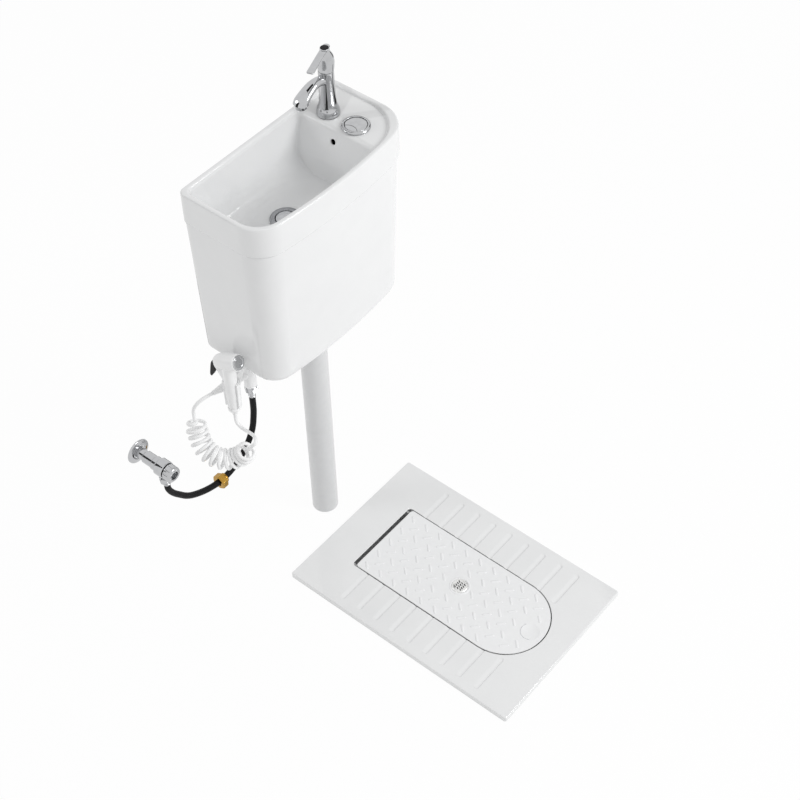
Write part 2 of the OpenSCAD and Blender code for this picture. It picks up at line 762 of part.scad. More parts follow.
module fill_float() {
  z = z_part - 240;
  color("lightblue") translate([fill.x, fill.y, z]) {
    difference() {
      cylinder(r = 25, h = 52);
      translate([0, 0, -e]) cylinder(r = 9.5, h = 54);
    }
    translate([0, -26, 44]) cylinder(r = 4, h = 8);
    translate([0, -26, 48]) cylinder(r = 2, h = 96);
    translate([0, -26, 138.6]) cylinder(r = 3.4, h = 3);
  }
}

module fill_arm() {
  z = z_part - 106;
  color("steelblue") translate([fill.x, fill.y + 9, z]) difference() {
    union() {
      translate([-3.6, -42, -2.6]) cube([7.2, 42, 5.2]);
      translate([-3.6, 0, 0]) rotate([0, 90, 0]) cylinder(r = 4, h = 7.2);
    }
    translate([-4, 0, 0]) rotate([0, 90, 0]) cylinder(r = 1.56, h = 8);
    translate([-2.3, -40, -4]) cube([4.6, 10, 8]);
  }
}

module fill_pin() {
  color("gray") translate([fill.x - 8, fill.y + 9, z_part - 106]) rotate([0, 90, 0]) cylinder(r = 1.5, h = 16);
}

// Pipe and elbow

module pipe_nut() {
  color("whitesmoke") translate([0, 0, z_pipe - 14]) difference() {
    union() {
      cylinder(r = tail_r + 5, h = 24);
      for (a = [0:30:330]) rotate([0, 0, a]) translate([tail_r + 3, -2.5, 2]) cube([4, 5, 20]);
    }
    translate([0, 0, -e]) cylinder(r = pipe_r + fit, h = 15);
    translate([0, 0, 14]) cylinder(r = tail_r, h = 11);
  }
}

module flush_pipe() {
  color("lightgray") translate([0, 0, -socket_h]) difference() {
    tube(pipe_r, z_pipe + socket_h, pipe_r - pipe_t);
    translate([0, 0, (z_pipe + socket_h) / 2]) difference() {
      cylinder(r = pipe_r + 1, h = 1.2);
      translate([0, 0, -e]) cylinder(r = pipe_r - 0.5, h = 2);
    }
  }
}

module floor_elbow() {
  r = pipe_r + fit;
  color("silver") {
    translate([0, 0, -socket_h]) tube(r + 4, socket_h, r);
    translate([0, -elbow_bend, -socket_h]) rotate([90, 0, 90]) rotate_extrude(angle = -90)
      translate([elbow_bend, 0]) difference() {
        circle(r = r + 1);
        circle(r = pipe_r - pipe_t);
      }
    translate([0, -elbow_bend, horn_z]) rotate([90, 0, 0]) tube(r + 1, 42, pipe_r - pipe_t);
  }
}

module pan_seal() {
  r = pipe_r + fit + 1;
  color("black") translate([0, horn_y + 4, horn_z]) rotate([90, 0, 0]) {
    tube(r + 4, 22, r);
    tube(r + 8, 4, r);
  }
}

// Pan and cover

module pan_shell(t, top) {
  y0 = open_y0;
  loft([sloped(slot_plan(open_w - 42 - t, y0 - 30 - t, open_yc, 20), -pan_h + t, 0.2),
    sloped(slot_plan(open_w - 22 - t, y0 - 16 - t, open_yc, 18), -pan_h * 0.9 + t, 0.18),
    sloped(slot_plan(open_w - 8 - t, y0 - 4 - t, open_yc, 16), -pan_h * 0.6 + t / 2, 0.1),
    at_z(slot_plan(open_w - t, y0 + 5 - t, open_yc, 14), -22),
    at_z(slot_plan(open_w - t, y0 + 8 - t, open_yc, 12), top)]);
}

module rib() {
  r = (rib_w * rib_w / 4 + rib_h * rib_h) / (2 * rib_h);
  intersection() {
    translate([0, 0, rib_h - r]) union() {
      rotate([0, 90, 0]) cylinder(r = r, h = rib_l - rib_w / 2);
      translate([rib_l - rib_w / 2, 0, 0]) sphere(r = r);
    }
    translate([0, -rib_w, -2]) cube([rib_l + rib_w, 2 * rib_w, 2 * rib_w]);
  }
}

module plate_outline() {
  w = pan_w / 2;
  y1 = -pan_gap;
  y0 = y1 - pan_l;
  r = plate_r;
  polygon(concat(arc([r - w, y0 + r], r, 180, 270, 4), arc([w - r, y0 + r], r, 270, 360, 4),
    arc([w - r, y1 - r], r, 0, 90, 4), arc([r - w, y1 - r], r, 90, 180, 4)));
}

module pan() {
  color("white") difference() {
    union() {
      linear_extrude(plate_t) plate_outline();
      pan_shell(0, 2);
      translate([0, horn_y, horn_z]) rotate([90, 0, 0]) cylinder(r = pipe_r + 13, h = -horn_y - open_y0 + 12);
      translate([0, open_yc, -pan_h - outlet_l]) cylinder(r = outlet_r, h = outlet_l + 12);
      translate([0, open_yc, -pan_h - 15]) cylinder(r = outlet_r + 6, h = 30);
      for (i = [0:ribs - 1], s = [0, 1]) mirror([s, 0, 0])
        translate([open_w + 2, open_y0 - open_l / 2 + (i - (ribs - 1) / 2) * rib_pitch - 1, plate_t]) rib();
    }
    pan_shell(pan_t, 3);
    translate([0, 0, -e]) linear_extrude(plate_t)
      polygon(slot_plan(open_w - ledge_w, open_y0 - fit, open_yc, 8));
    translate([0, 0, z_cover]) linear_extrude(plate_t) polygon(slot_plan(open_w, open_y0, open_yc, 8));
    translate([0, horn_y + e, horn_z]) rotate([90, 0, 0]) cylinder(r = pipe_r + fit + 5, h = 24);
    translate([0, horn_y, horn_z]) rotate([90, 0, 0]) cylinder(r = pipe_r, h = -horn_y - open_y0 + 30);
    translate([0, open_yc, -pan_h - outlet_l - 1]) cylinder(r = outlet_r - 7, h = outlet_l + 40);
  }
}

module stroke(a) {
  l = stroke_l / 2;
  w = stroke_w / 2;
  rotate([0, 0, a]) polygon([[w - l, -w], [l - w, -w], [l, 0], [l - w, w], [w - l, w], [-l, 0]]);
}

// True where a stroke fits between the cover's edge, the strainer and the scoop
function stroke_fits(x, y) =
  let (in = cover_w - 12, far = stroke_l / 2 + 3)
  abs(x) < in && y < cover_y0 - 12 && (y > open_yc || norm([x, y - open_yc]) < in)
  && norm([x, y - strainer_y]) > strainer_r + far && norm([x, y - scoop_y]) > scoop_r + far;

module strokes() {
  sx = 39.6;
  sy = 37.3;
  for (i = [-3:3], j = [0:11]) {
    p = [-2.4 + i * sx, cover_y0 - 37 - j * sy];
    q = p + [sx / 2, sy / 2];
    if (stroke_fits(p.x + sx / 2, p.y)) translate([p.x + sx / 2, p.y]) stroke(-45);
    if (stroke_fits(q.x - sx / 2, q.y)) translate([q.x - sx / 2, q.y]) stroke(45);
  }
}

module cover_plate() {
  r = (scoop_r * scoop_r + scoop_d * scoop_d) / (2 * scoop_d);
  color("whitesmoke") difference() {
    union() {
      translate([0, 0, z_cover]) linear_extrude(cover_t) polygon(slot_plan(cover_w, cover_y0, open_yc, 7));
      translate([0, 0, plate_t - 1]) linear_extrude(stroke_h + 1) strokes();
    }
    translate([0, scoop_y, plate_t - scoop_d + r]) sphere(r = r, $fn = 64);
    translate([0, strainer_y, 0]) cylinder(r = strainer_r - 3.6, h = 30);
  }
}

module strainer() {
  color("silver") translate([0, strainer_y, plate_t]) difference() {
    union() {
      cylinder(r = strainer_r, h = 1.6);
      translate([0, 0, -cover_t]) cylinder(r = strainer_r - 3.6, h = cover_t + 1);
    }
    translate([0, 0, -cover_t - 1]) cylinder(r = strainer_r - 5.5, h = cover_t - 1);
    for (i = [-1:1], j = [-1.5:1.5]) translate([j * 5.2, i * 7.2, -5]) rotate([0, 0, 60])
      translate([-2.7, -0.9, 0]) cube([5.4, 1.8, 12]);
  }
}

// Stop valve and black hose

// Turned about the line that runs straight out of the wall: x is the distance from the wall
module from_wall(pts) {
  translate([stop.x, wall_y, stop.z]) rotate([90, 0, 0]) rotate_extrude() polygon([for (p = pts) [p.y, p.x]]);
}

module wall_plate() {
  r = plate_valve_r;
  color("silver") from_wall([[0, shank_r + 0.1], [0, r], [1.6, r], [3, r - 1.4], [4.4, r - 5], [5.6, r - 11],
    [5.6, shank_r + 0.1]]);
}

module stop_body() {
  l = stop_l;
  color("silver") difference() {
    union() {
      from_wall([[-20, 0], [-20, shank_r], [0, shank_r], [0, shank_r - 0.2], [9, shank_r - 0.2],
        [9, shank_r + 0.8], [22, shank_r + 0.8], [24, 13], [46, 13],
        [48, 14.4], [57, 14.4], [59, 17], [60, 18], [78, 18], [l - 1.6, 17], [l - 1.6, 8], [l, 8], [l, 0]]);
      translate([stop.x, stop_y, stop.z - 27]) cylinder(r = shank_r, h = 20);
    }
    translate([stop.x, stop_y, stop.z - 28]) cylinder(r = 5.5, h = 28);
    translate([stop.x, wall_y + 21, stop.z]) rotate([90, 0, 0]) cylinder(r = 6, h = 90);
    translate([stop.x, wall_y - l + 9, stop.z]) rotate([90, 0, 0]) cylinder(r = 3.06, h = 10);
  }
}

module stop_knob() {
  r = knob_r;
  translate([stop.x, wall_y - stop_l - fit, stop.z]) rotate([90, 0, 0]) color("silver") difference() {
    union() {
      rotate_extrude() polygon([[0, 0], [r - 1.5, 0], [r, 1.5], [r, 14], [r - 0.8, 16], [r - 2.4, 17.6],
        [r - 4.5, 18], [0, 18]]);
      translate([0, 0, -8]) cylinder(r = 3, h = 9);
    }
    translate([0, 0, 8]) hex(17, 12);
    for (a = [0:30:330]) rotate([0, 0, a]) translate([r + 2.2, 0, 2]) cylinder(r = 3, h = 12);
  }
}

module supply_fittings() {
  color("silver") {
    translate([fill.x, fill.y, z_tee - tee_l - hose_nut_h]) difference() {
      hex(24, hose_nut_h);
      translate([0, 0, 4]) cylinder(r = 9, h = hose_nut_h);
    }
    translate([fill.x, fill.y, z_tee - tee_l - hose_nut_h - ferrule_h]) cylinder(r = hose_r + 1, h = ferrule_h);
    translate([stop.x, stop_y, stop.z - 35]) difference() {
      hex(24, 14);
      translate([0, 0, 8]) cylinder(r = shank_r, h = 7);
    }
    translate([stop.x, stop_y, stop.z - stop_tail]) cylinder(r = hose_r + 1, h = stop_tail - 35);
  }
}

module supply_hose() {
  color("black") sweep(curve(supply_route, 4), hose_r, 10, [0, 1, 0]);
}

module spare_nut() {
  c = supply_route[6];
  color("goldenrod") translate([c.x, c.y, c.z - 0.7]) rotate([0, 90, 0]) difference() {
    union() {
      translate([0, 0, -9]) hex(25, 13);
      translate([0, 0, 4]) cylinder(r = 11, h = 6);
    }
    translate([0, 0, -10]) cylinder(r = hose_r + 1, h = 20);
  }
}

module tee() {
  color("white") translate([fill.x, fill.y, z_tee]) difference() {
    union() {
      rotate_extrude() polygon([[5, 0], [13, 0], [13, -8], [11.5, -10], [11.5, -26], [13, -36], [13, -tee_l],
        [9, -tee_l], [9, -tee_l - 12], [5, -tee_l - 12]]);
      translate([0, 0, tee_out - z_tee]) rotate([0, 0, tee_turn]) rotate([0, 90, 0])
        translate([0, 0, 8]) cylinder(r = 8.5, h = tee_reach - 8);
    }
    translate([0, 0, tee_out - z_tee]) rotate([0, 0, tee_turn]) rotate([0, 90, 0])
      translate([0, 0, 2]) cylinder(r = 3.8, h = tee_reach);
  }
}

module tee_nut() {
  color("white") translate([fill.x, fill.y, z_tee]) difference() {
    cylinder(r = 15, h = 18, $fn = 12);
    translate([0, 0, -e]) cylinder(r = shank_r, h = 20);
  }
}

// Sprayer

function grip_at(z) = grip_end_r + (grip_r - grip_end_r) * (z - z_grip) / grip_l;

module sprayer_holder() {
  z0 = z_grip + 2;
  z1 = z_tank - 12;
  a = atan2(fill.y - sprayer.y, fill.x - sprayer.x);
  d = norm([fill.x - sprayer.x, fill.y - sprayer.y]);
  color("gainsboro") {
    translate([sprayer.x, sprayer.y, 0]) rotate([0, 0, a - 110]) rotate_extrude(angle = 220)
      polygon([[grip_at(z0) + fit, z0], [grip_at(z0) + 4, z0], [grip_at(z1) + 4, z1], [grip_at(z1) + fit, z1]]);
    translate([sprayer.x, sprayer.y, 0]) rotate([0, 0, a]) translate([0, 2.5, 0]) rotate([90, 0, 0])
      linear_extrude(5) polygon([[grip_at(z1) + 2, z0 + 14], [d - 15, z1 - 8], [d - 15, z1], [grip_at(z1) + 2, z1]]);
    translate([fill.x, fill.y, z_tee + 18]) tube(18, z1 - z_tee - 18, shank_r + fit);
  }
}

// Places its children at the top of the handle, turned with the sprayer
module at_sprayer() {
  translate(sprayer) rotate([0, 0, sprayer_turn]) children();
}

// Turned about the line along which the head sprays
module head_turned(pts) {
  at_sprayer() rotate([90 - head_tilt, 0, 0]) rotate_extrude() polygon([for (p = pts) [p.y, p.x]]);
}

module sprayer_body() {
  l = head_l;
  r = head_r;
  color("white") difference() {
    union() {
      head_turned([[-0.55 * l, 0], [-0.55 * l, 6], [-0.51 * l, 10], [-0.42 * l, 13.4], [-0.26 * l, 15.6],
        [-0.06 * l, r - 0.4], [0.14 * l, r], [0.4 * l, r], [0.44 * l, r - 1], [0.44 * l, 0]]);
      translate([sprayer.x, sprayer.y, z_grip]) cylinder(r1 = grip_end_r, r2 = grip_r, h = grip_l);
      at_sprayer() for (s = [-8.4, 4.4]) translate([s, 2, 8]) cube([4, 10, 15]);
    }
    head_turned([[0.4 * l, 0], [0.4 * l, r - 2], [0.5 * l, r - 2], [0.5 * l, 0]]);
    at_sprayer() translate([-12, 7, 19]) rotate([0, 90, 0]) cylinder(r = 1.5, h = 24);
    at_sprayer() translate([0, 16, -15]) rotate([-90, 0, 0]) cylinder(r = 5.4, h = 30);
  }
}

module spray_face() {
  l = head_l;
  r = head_r - 2;
  color("silver") difference() {
    head_turned([[0.4 * l, 0], [0.4 * l, r], [0.45 * l, r], [0.47 * l, r - 1.6], [0.46 * l, r - 4], [0.46 * l, 0]]);
    at_sprayer() rotate([90 - head_tilt, 0, 0]) for (i = [0:5]) rotate([0, 0, 60 * i])
      translate([5.5, 0, 0.43 * l]) cylinder(r = 1, h = 10, $fn = 16);
  }
}

module sprayer_trigger() {
  color("dimgray") at_sprayer() difference() {
    union() {
      rotate([90, 0, 90]) translate([0, 0, -4]) linear_extrude(8) polygon([[7, 22], [21, 21], [34, 14], [42.5, 2],
        [45.5, -14], [45.5, -34], [47, -52], [44, -56], [41, -52], [41.5, -34], [41.5, -14], [38.5, 0], [31.5, 9.5],
        [19, 16], [7, 16.4]]);
      translate([-4, 7, 19]) rotate([0, 90, 0]) cylinder(r = 3, h = 8);
      translate([0, 25, -14]) rotate([-90, 0, 0]) cylinder(r = 2.4, h = 18);
    }
    translate([-5, 7, 19]) rotate([0, 90, 0]) cylinder(r = 1.56, h = 10);
  }
}

module trigger_pin() {
  color("silver") at_sprayer() translate([-8.4, 7, 19]) rotate([0, 90, 0]) cylinder(r = 1.5, h = 16.8);
}

module sprayer_tail() {
  color("white") translate([sprayer.x, sprayer.y, z_grip]) rotate_extrude() polygon([[0, 0], [12, 0], [12.4, -2],
    [12.4, -7], [10.5, -10], [6.4, -15], [5, -tail_l + 2], [5, -tail_l], [0, -tail_l]]);
}

module hose_cone() {
  color("white") translate([fill.x, fill.y, tee_out]) rotate([0, 0, tee_turn]) rotate([0, 90, 0])
    rotate_extrude() polygon([[0, tee_reach], [11, tee_reach], [11, tee_reach + 14], [10, tee_reach + 16],
      [8.4, tee_reach + 28], [5.4, tee_reach + 44], [5, tee_reach + cone_l], [0, tee_reach + cone_l]]);
}

// The curls wind about curl_route; the ends run straight for one diameter
curl_mid = curve(curl_route, 8);
curl_s = sums(curl_mid);
curl_steps = 8 * spiral_turns;
function curl_at(s) = [for (k = [0:2]) lookup(s, [for (i = [0:len(curl_mid) - 1]) [curl_s[i], curl_mid[i][k]]])];
function curl_point(i) =
  let (s = 2 * spiral_r + (last(curl_s) - 4 * spiral_r) * i / curl_steps, t = unit(curl_at(s + 3) - curl_at(s - 3)),
       n = unit(cross(t, curl_normal)), r = spiral_coil_r * sin(90 * min(1, min(i, curl_steps - i) / 7)))
  curl_at(s) + r * (cos(45 * i) * n + sin(45 * i) * cross(t, n));
curl_path = concat([curl_route[0]], [for (i = [0:curl_steps]) curl_point(i)], [last(curl_route)]);
curl_gap = min([for (i = [0:len(curl_path) - 6], j = [i + 5:len(curl_path) - 1])
  norm(curl_path[i] - curl_path[j])]) - 2 * spiral_r;

module hose_lead_tee() {
  a = curl_path[0];
  color("white") sweep(concat(curve(concat(lead_tee, [a - 0.6 * unit(curl_path[1] - a)]), 3), [a]), spiral_r, 8);
}

module spiral_hose() {
  echo(least_gap_of_the_spiral_hose = curl_gap);
  color("white") sweep(curl_path, spiral_r, 6, curl_normal);
}

module hose_lead_grip() {
  b = last(curl_path);
  c = curl_path[len(curl_path) - 2];
  color("white") sweep(concat([b], curve(concat([b + 0.6 * unit(b - c)], lead_grip), 3)), spiral_r, 8);
}

tank();
basin_top();
waste_flange();
waste_seal();
waste_nut();
waste_plug();
tap_body();
tap_aerator();
tap_cartridge();
tap_stem();
tap_lever();
tap_cap();
tap_gasket();
tap_nut();
tap_feed_hose();
button_bezel();
button_nut();
button_full();
button_half();
full_spring();
half_spring();
cable_box();
flush_cable();
flush_seat();
flush_gasket();
flush_nut();
flush_tower();
flush_float();
flush_seal();
fill_valve();
fill_washer();
fill_nut();
fill_float();
fill_arm();
fill_pin();
pipe_nut();
flush_pipe();
floor_elbow();
pan_seal();
pan();
cover_plate();
strainer();
wall_plate();
stop_body();
stop_knob();
tee();
tee_nut();
supply_fittings();
supply_hose();
spare_nut();
sprayer_holder();
sprayer_body();
spray_face();
sprayer_trigger();
trigger_pin();
sprayer_tail();
hose_cone();
hose_lead_tee();
spiral_hose();
hose_lead_grip();
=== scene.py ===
import bpy
import bmesh
import math
from mathutils import Matrix, Vector


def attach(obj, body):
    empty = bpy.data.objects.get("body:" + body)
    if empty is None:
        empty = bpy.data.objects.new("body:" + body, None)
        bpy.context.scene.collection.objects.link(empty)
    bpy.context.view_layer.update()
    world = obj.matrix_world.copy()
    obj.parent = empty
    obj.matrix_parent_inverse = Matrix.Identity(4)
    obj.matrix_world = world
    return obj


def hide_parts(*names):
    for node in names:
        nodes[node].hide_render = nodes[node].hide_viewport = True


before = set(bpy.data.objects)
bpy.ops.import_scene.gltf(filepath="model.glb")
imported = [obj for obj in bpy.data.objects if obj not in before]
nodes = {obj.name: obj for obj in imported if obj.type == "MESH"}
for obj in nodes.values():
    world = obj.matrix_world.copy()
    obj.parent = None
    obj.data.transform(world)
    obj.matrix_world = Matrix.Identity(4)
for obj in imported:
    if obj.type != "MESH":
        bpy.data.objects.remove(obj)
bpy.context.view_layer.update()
scene = bpy.context.scene
print("frame loaded")


def mm(*values):
    point = [value * 0.001 for value in values]
    return Vector(point) if len(point) == 3 else point[0]


def turnMatrix(degrees, axis):
    return Matrix.Rotation(math.radians(degrees), 4, axis)


def linked(name, data):
    made = bpy.data.objects.new(name, data)
    scene.collection.objects.link(made)
    return made


def addNode(tree, kind, **inputs):
    node = tree.nodes.new("ShaderNode" + kind)
    for name, value in inputs.items():
        node.inputs[name.replace("_", " ")].default_value = value
    return node


# camera
camera = {"place": (-1668.18, -1649.65, 2929.06), "turn": -49.535, "down": 47.954, "roll": -1.441, "lens": 75.25}

lens = bpy.data.cameras.new("camera")
lens.lens = camera["lens"]
lens.sensor_width = 36
lens.clip_end = 60
eye = linked("camera", lens)
eye.matrix_world = (Matrix.Translation(mm(*camera["place"])) @ turnMatrix(camera["turn"], "Z")
                    @ turnMatrix(90 - camera["down"], "X") @ turnMatrix(camera["roll"], "Z"))
scene.camera = eye


# finishes
def noiseOn(tree, size, detail):
    place = addNode(tree, "TexCoord")
    mapping = addNode(tree, "Mapping")
    noise = addNode(tree, "TexNoise", Scale=1 / size, Detail=detail)
    tree.links.new(place.outputs["Object"], mapping.inputs["Vector"])
    tree.links.new(mapping.outputs["Vector"], noise.inputs["Vector"])
    return noise.outputs["Fac"]


# a finish is two close colours in a slow cloud, and a fine skin that varies the gloss and the bump
def newFinish(name, colour, shade, cloud, skin, dull, bump, **inputs):
    material = bpy.data.materials.new(name)
    material.use_nodes = True
    tree = material.node_tree
    shader = tree.nodes["Principled BSDF"]
    tint = addNode(tree, "ValToRGB")
    for element, position, value in zip(tint.color_ramp.elements, (0.3, 0.7), (shade, colour)):
        element.position = position
        element.color = (*value, 1)
    tree.links.new(noiseOn(tree, *cloud), tint.inputs["Fac"])
    tree.links.new(tint.outputs["Color"], shader.inputs["Base Color"])
    fine = noiseOn(tree, *skin)
    gloss = addNode(tree, "MapRange", From_Min=0.3, From_Max=0.7, To_Min=dull[0], To_Max=dull[1])
    tree.links.new(fine, gloss.inputs["Value"])
    tree.links.new(gloss.outputs["Result"], shader.inputs["Roughness"])
    relief = addNode(tree, "Bump", Distance=bump[0], Strength=bump[1])
    tree.links.new(fine, relief.inputs["Height"])
    tree.links.new(relief.outputs["Normal"], shader.inputs["Normal"])
    for key, value in inputs.items():
        shader.inputs[key.replace("_", " ")].default_value = value
    return material


def glazedCeramic(name, colour, shade):
    return newFinish(name, colour, shade, (0.06, 2), (0.018, 1), (0.05, 0.1), (0.00025, 0.35), IOR=1.52)


def mouldedPlastic(name, colour, shade, dull):
    return newFinish(name, colour, shade, (0.012, 3), (0.0008, 2), (dull - 0.05, dull + 0.06), (0.00004, 0.3), IOR=1.48)


def polishedMetal(name, colour, shade, dull=0.06, grain=0.004):
    return newFinish(name, colour, shade, (0.01, 2), (grain, 3), (dull * 0.7, dull * 1.4), (0.00003, 0.25),
                     Metallic=1.0)


def rubberSkin(name, colour, shade, dull, shine=0.5):
    return newFinish(name, colour, shade, (0.008, 3), (0.0009, 2), (dull - 0.08, dull + 0.08), (0.00005, 0.4),
                     Specular_IOR_Level=shine)


glaze = glazedCeramic("tank glaze", (0.86, 0.865, 0.868), (0.845, 0.85, 0.854))
panGlaze = glazedCeramic("pan glaze", (0.855, 0.86, 0.862), (0.84, 0.845, 0.848))
whitePlastic = mouldedPlastic("white plastic", (0.95, 0.952, 0.955), (0.935, 0.937, 0.94), 0.28)
satinWhite = mouldedPlastic("cover plastic", (0.90, 0.905, 0.91), (0.885, 0.89, 0.895), 0.38)
fittingsWhite = mouldedPlastic("inner fittings", (0.72, 0.73, 0.73), (0.69, 0.70, 0.70), 0.45)
pipeGrey = mouldedPlastic("pipe plastic", (0.72, 0.725, 0.73), (0.70, 0.705, 0.71), 0.3)
chrome = polishedMetal("chrome", (0.53, 0.535, 0.545), (0.49, 0.495, 0.505))
steel = polishedMetal("steel", (0.80, 0.80, 0.79), (0.76, 0.76, 0.75), 0.3)
brass = polishedMetal("brass", (0.47, 0.28, 0.055), (0.38, 0.21, 0.04), 0.2, 0.0012)
blackRubber = rubberSkin("black rubber", (0.009, 0.009, 0.01), (0.006, 0.006, 0.007), 0.5, 0.12)
greyRubber = rubberSkin("grey rubber", (0.12, 0.12, 0.12), (0.09, 0.09, 0.09), 0.6)
redRubber = rubberSkin("red rubber", (0.42, 0.07, 0.05), (0.35, 0.055, 0.04), 0.55)
drainGrey = polishedMetal("drain metal", (0.36, 0.365, 0.38), (0.31, 0.315, 0.33), 0.28, 0.0015)
bluePlastic = mouldedPlastic("float plastic", (0.18, 0.36, 0.55), (0.16, 0.33, 0.51), 0.4)
darkPlastic = rubberSkin("dark plastic", (0.012, 0.012, 0.013), (0.008, 0.008, 0.009), 0.35, 0.15)
plugMetal = polishedMetal("plug metal", (0.58, 0.585, 0.60), (0.53, 0.535, 0.55), 0.2, 0.003)
braid = polishedMetal("steel braid", (0.55, 0.55, 0.54), (0.35, 0.35, 0.35), 0.35, 0.001)

nodeFinishes = [
    (glaze, "tank basin_top"),
    (panGlaze, "pan"),
    (satinWhite, "cover_plate"),
    (whitePlastic, "tee tee_nut sprayer_body sprayer_tail sprayer_holder hose_cone hose_lead_tee spiral_hose "
                   "hose_lead_grip button_nut"),
    (fittingsWhite, "cable_box flush_seat flush_nut flush_tower fill_valve fill_nut pipe_nut tap_cartridge"),
    (pipeGrey, "flush_pipe floor_elbow"),
    (chrome, "tap_body tap_aerator tap_lever button_bezel button_full button_half wall_plate stop_body stop_knob "
             "supply_fittings spray_face"),
    (steel, "strainer trigger_pin fill_pin full_spring half_spring"),
    (brass, "spare_nut tap_nut tap_stem"),
    (blackRubber, "supply_hose flush_cable tap_gasket pan_seal"),
    (greyRubber, "waste_seal flush_gasket fill_washer"),
    (redRubber, "flush_seal"),
    (drainGrey, "waste_flange waste_plug waste_nut"),
    (bluePlastic, "flush_float fill_float fill_arm"),
    (darkPlastic, "tap_cap sprayer_trigger"),
    (braid, "tap_feed_hose"),
]
for finish, names in nodeFinishes:
    for name in names.split():
        nodes[name].data.materials.clear()
        nodes[name].data.materials.append(finish)
print("finishes made")


# shapes used by several pieces
def smoothFaces(piece):
    for face in piece.data.polygons:
        face.use_smooth = True


def sheetObject(name, bm, finish):
    data = bpy.data.meshes.new(name)
    bm.to_mesh(data)
    bm.free()
    data.materials.append(finish)
    return linked(name, data)


def meshPiece(name, bm, finish):      # shapes are drawn in millimetres
    bmesh.ops.transform(bm, matrix=Matrix.Scale(0.001, 4), verts=bm.verts)
    piece = sheetObject(name, bm, finish)
    smoothFaces(piece)
    return piece


def addModifier(piece, kind, **settings):
    modifier = piece.modifiers.new(kind.title(), kind)
    for key, value in settings.items():
        setattr(modifier, key, value)


def evenShading(piece, **more):
    addModifier(piece, "WEIGHTED_NORMAL", keep_sharp=True, **more)


def applyModifiers(piece):
    bpy.context.view_layer.update()
    ready = piece.evaluated_get(bpy.context.evaluated_depsgraph_get())
    old = piece.data
    fresh = bpy.data.meshes.new_from_object(ready)
    piece.modifiers.clear()
    piece.data = fresh
    bpy.data.meshes.remove(old)
    fresh.name = piece.name


def cutWith(piece, cutter, operation="DIFFERENCE"):
    addModifier(piece, "BOOLEAN", object=cutter, operation=operation, solver="EXACT")
    applyModifiers(piece)
    bpy.data.objects.remove(cutter)


def addRod(bm, radius, depth, matrix, segments, endRadius=None):
    bmesh.ops.create_cone(bm, cap_ends=True, segments=segments, radius1=radius,
                          radius2=radius if endRadius is None else endRadius, depth=depth, matrix=matrix)


def addBox(bm, sizes, matrix):
    bmesh.ops.create_cube(bm, size=1, matrix=matrix @ Matrix.Diagonal((*sizes, 1)))


def rodShape(start, end, radius, segments=48, endRadius=None):
    start, end = Vector(start), Vector(end)
    bm = bmesh.new()
    turn = (end - start).to_track_quat("Z", "Y").to_matrix().to_4x4()
    addRod(bm, radius, (end - start).length, Matrix.Translation((start + end) / 2) @ turn, segments, endRadius)
    return bm


def rodCutter(start, end, radius, **more):
    return meshPiece("cutter", rodShape(start, end, radius, **more), glaze)


def uprightCutter(x, y, low, high, radius, **more):
    return rodCutter((x, y, low), (x, y, high), radius, **more)


def spunArc(bm, centre, radius, start, turn, steps, z):
    first = len(bm.verts)
    angle = math.radians(start)
    seed = bm.verts.new((centre[0] + radius * math.cos(angle), centre[1] + radius * math.sin(angle), z))
    bmesh.ops.spin(bm, geom=[seed], cent=(centre[0], centre[1], z), axis=(0, 0, 1), angle=math.radians(turn),
                   steps=steps)
    bm.verts.ensure_lookup_table()
    return bm.verts[first:]


def circleLoop(bm, radius, place, segments=64):
    made = bmesh.ops.create_circle(bm, cap_ends=False, segments=segments, radius=radius,
                                   matrix=Matrix.Translation(place))
    bm.verts.ensure_lookup_table()
    return list({e for v in made["verts"] for e in v.link_edges})


def closedLoop(bm, arcs):      # the arcs, joined end to end, as one ring of edges
    for arc, following in zip(arcs, arcs[1:] + arcs[:1]):
        bm.edges.new((arc[-1], following[0]))
    ring = [v for arc in arcs for v in arc]
    return [e for v, w in zip(ring, ring[1:] + ring[:1]) for e in v.link_edges if e.other_vert(v) is w]


def bridge(bm, loops):      # a pair in one plane can join crosswise, so the pan's ledge slopes a little
    for one, two in zip(loops, loops[1:]):
        bmesh.ops.bridge_loops(bm, edges=one + two)


def roundEdges(bm, edges, radius, segments):
    bmesh.ops.bevel(bm, geom=edges, offset=radius, offset_type="OFFSET", affect="EDGES", segments=segments,
                    profile=0.5, material=-1, clamp_overlap=True)


def outwards(bm):
    bmesh.ops.remove_doubles(bm, verts=bm.verts, dist=0.005)
    bmesh.ops.recalc_face_normals(bm, faces=bm.faces)


def smoothRoute(points, steps):      # a Catmull-Rom curve through the points
    route = []
    for i in range(len(points) - 1):
        b, c = points[i], points[i + 1]
        a = points[i - 1] if i else 2 * b - c
        d = points[i + 2] if i < len(points) - 2 else 2 * c - b
        for k in range(steps):
            t = k / steps
            route.append((2 * b + (c - a) * t + (2 * a - 5 * b + 4 * c - d) * t * t
                          + (3 * b - a - 3 * c + d) * t ** 3) / 2)
    return route + [points[-1]]


def routeLength(points):
    return sum((q - p).length for p, q in zip(points, points[1:]))


def hoseCurve(name, points, radius, finish):
    data = bpy.data.curves.new(name, "CURVE")
    data.dimensions = "3D"
    data.bevel_depth = radius
    data.bevel_resolution = 6
    data.resolution_u = 6
    data.use_fill_caps = True
    spline = data.splines.new("BEZIER")
    spline.bezier_points.add(len(points) - 1)
    for knot, point in zip(spline.bezier_points, points):
        knot.co = point
        knot.handle_left_type = knot.handle_right_type = "AUTO"
    data.materials.append(finish)
    return linked(name, data)


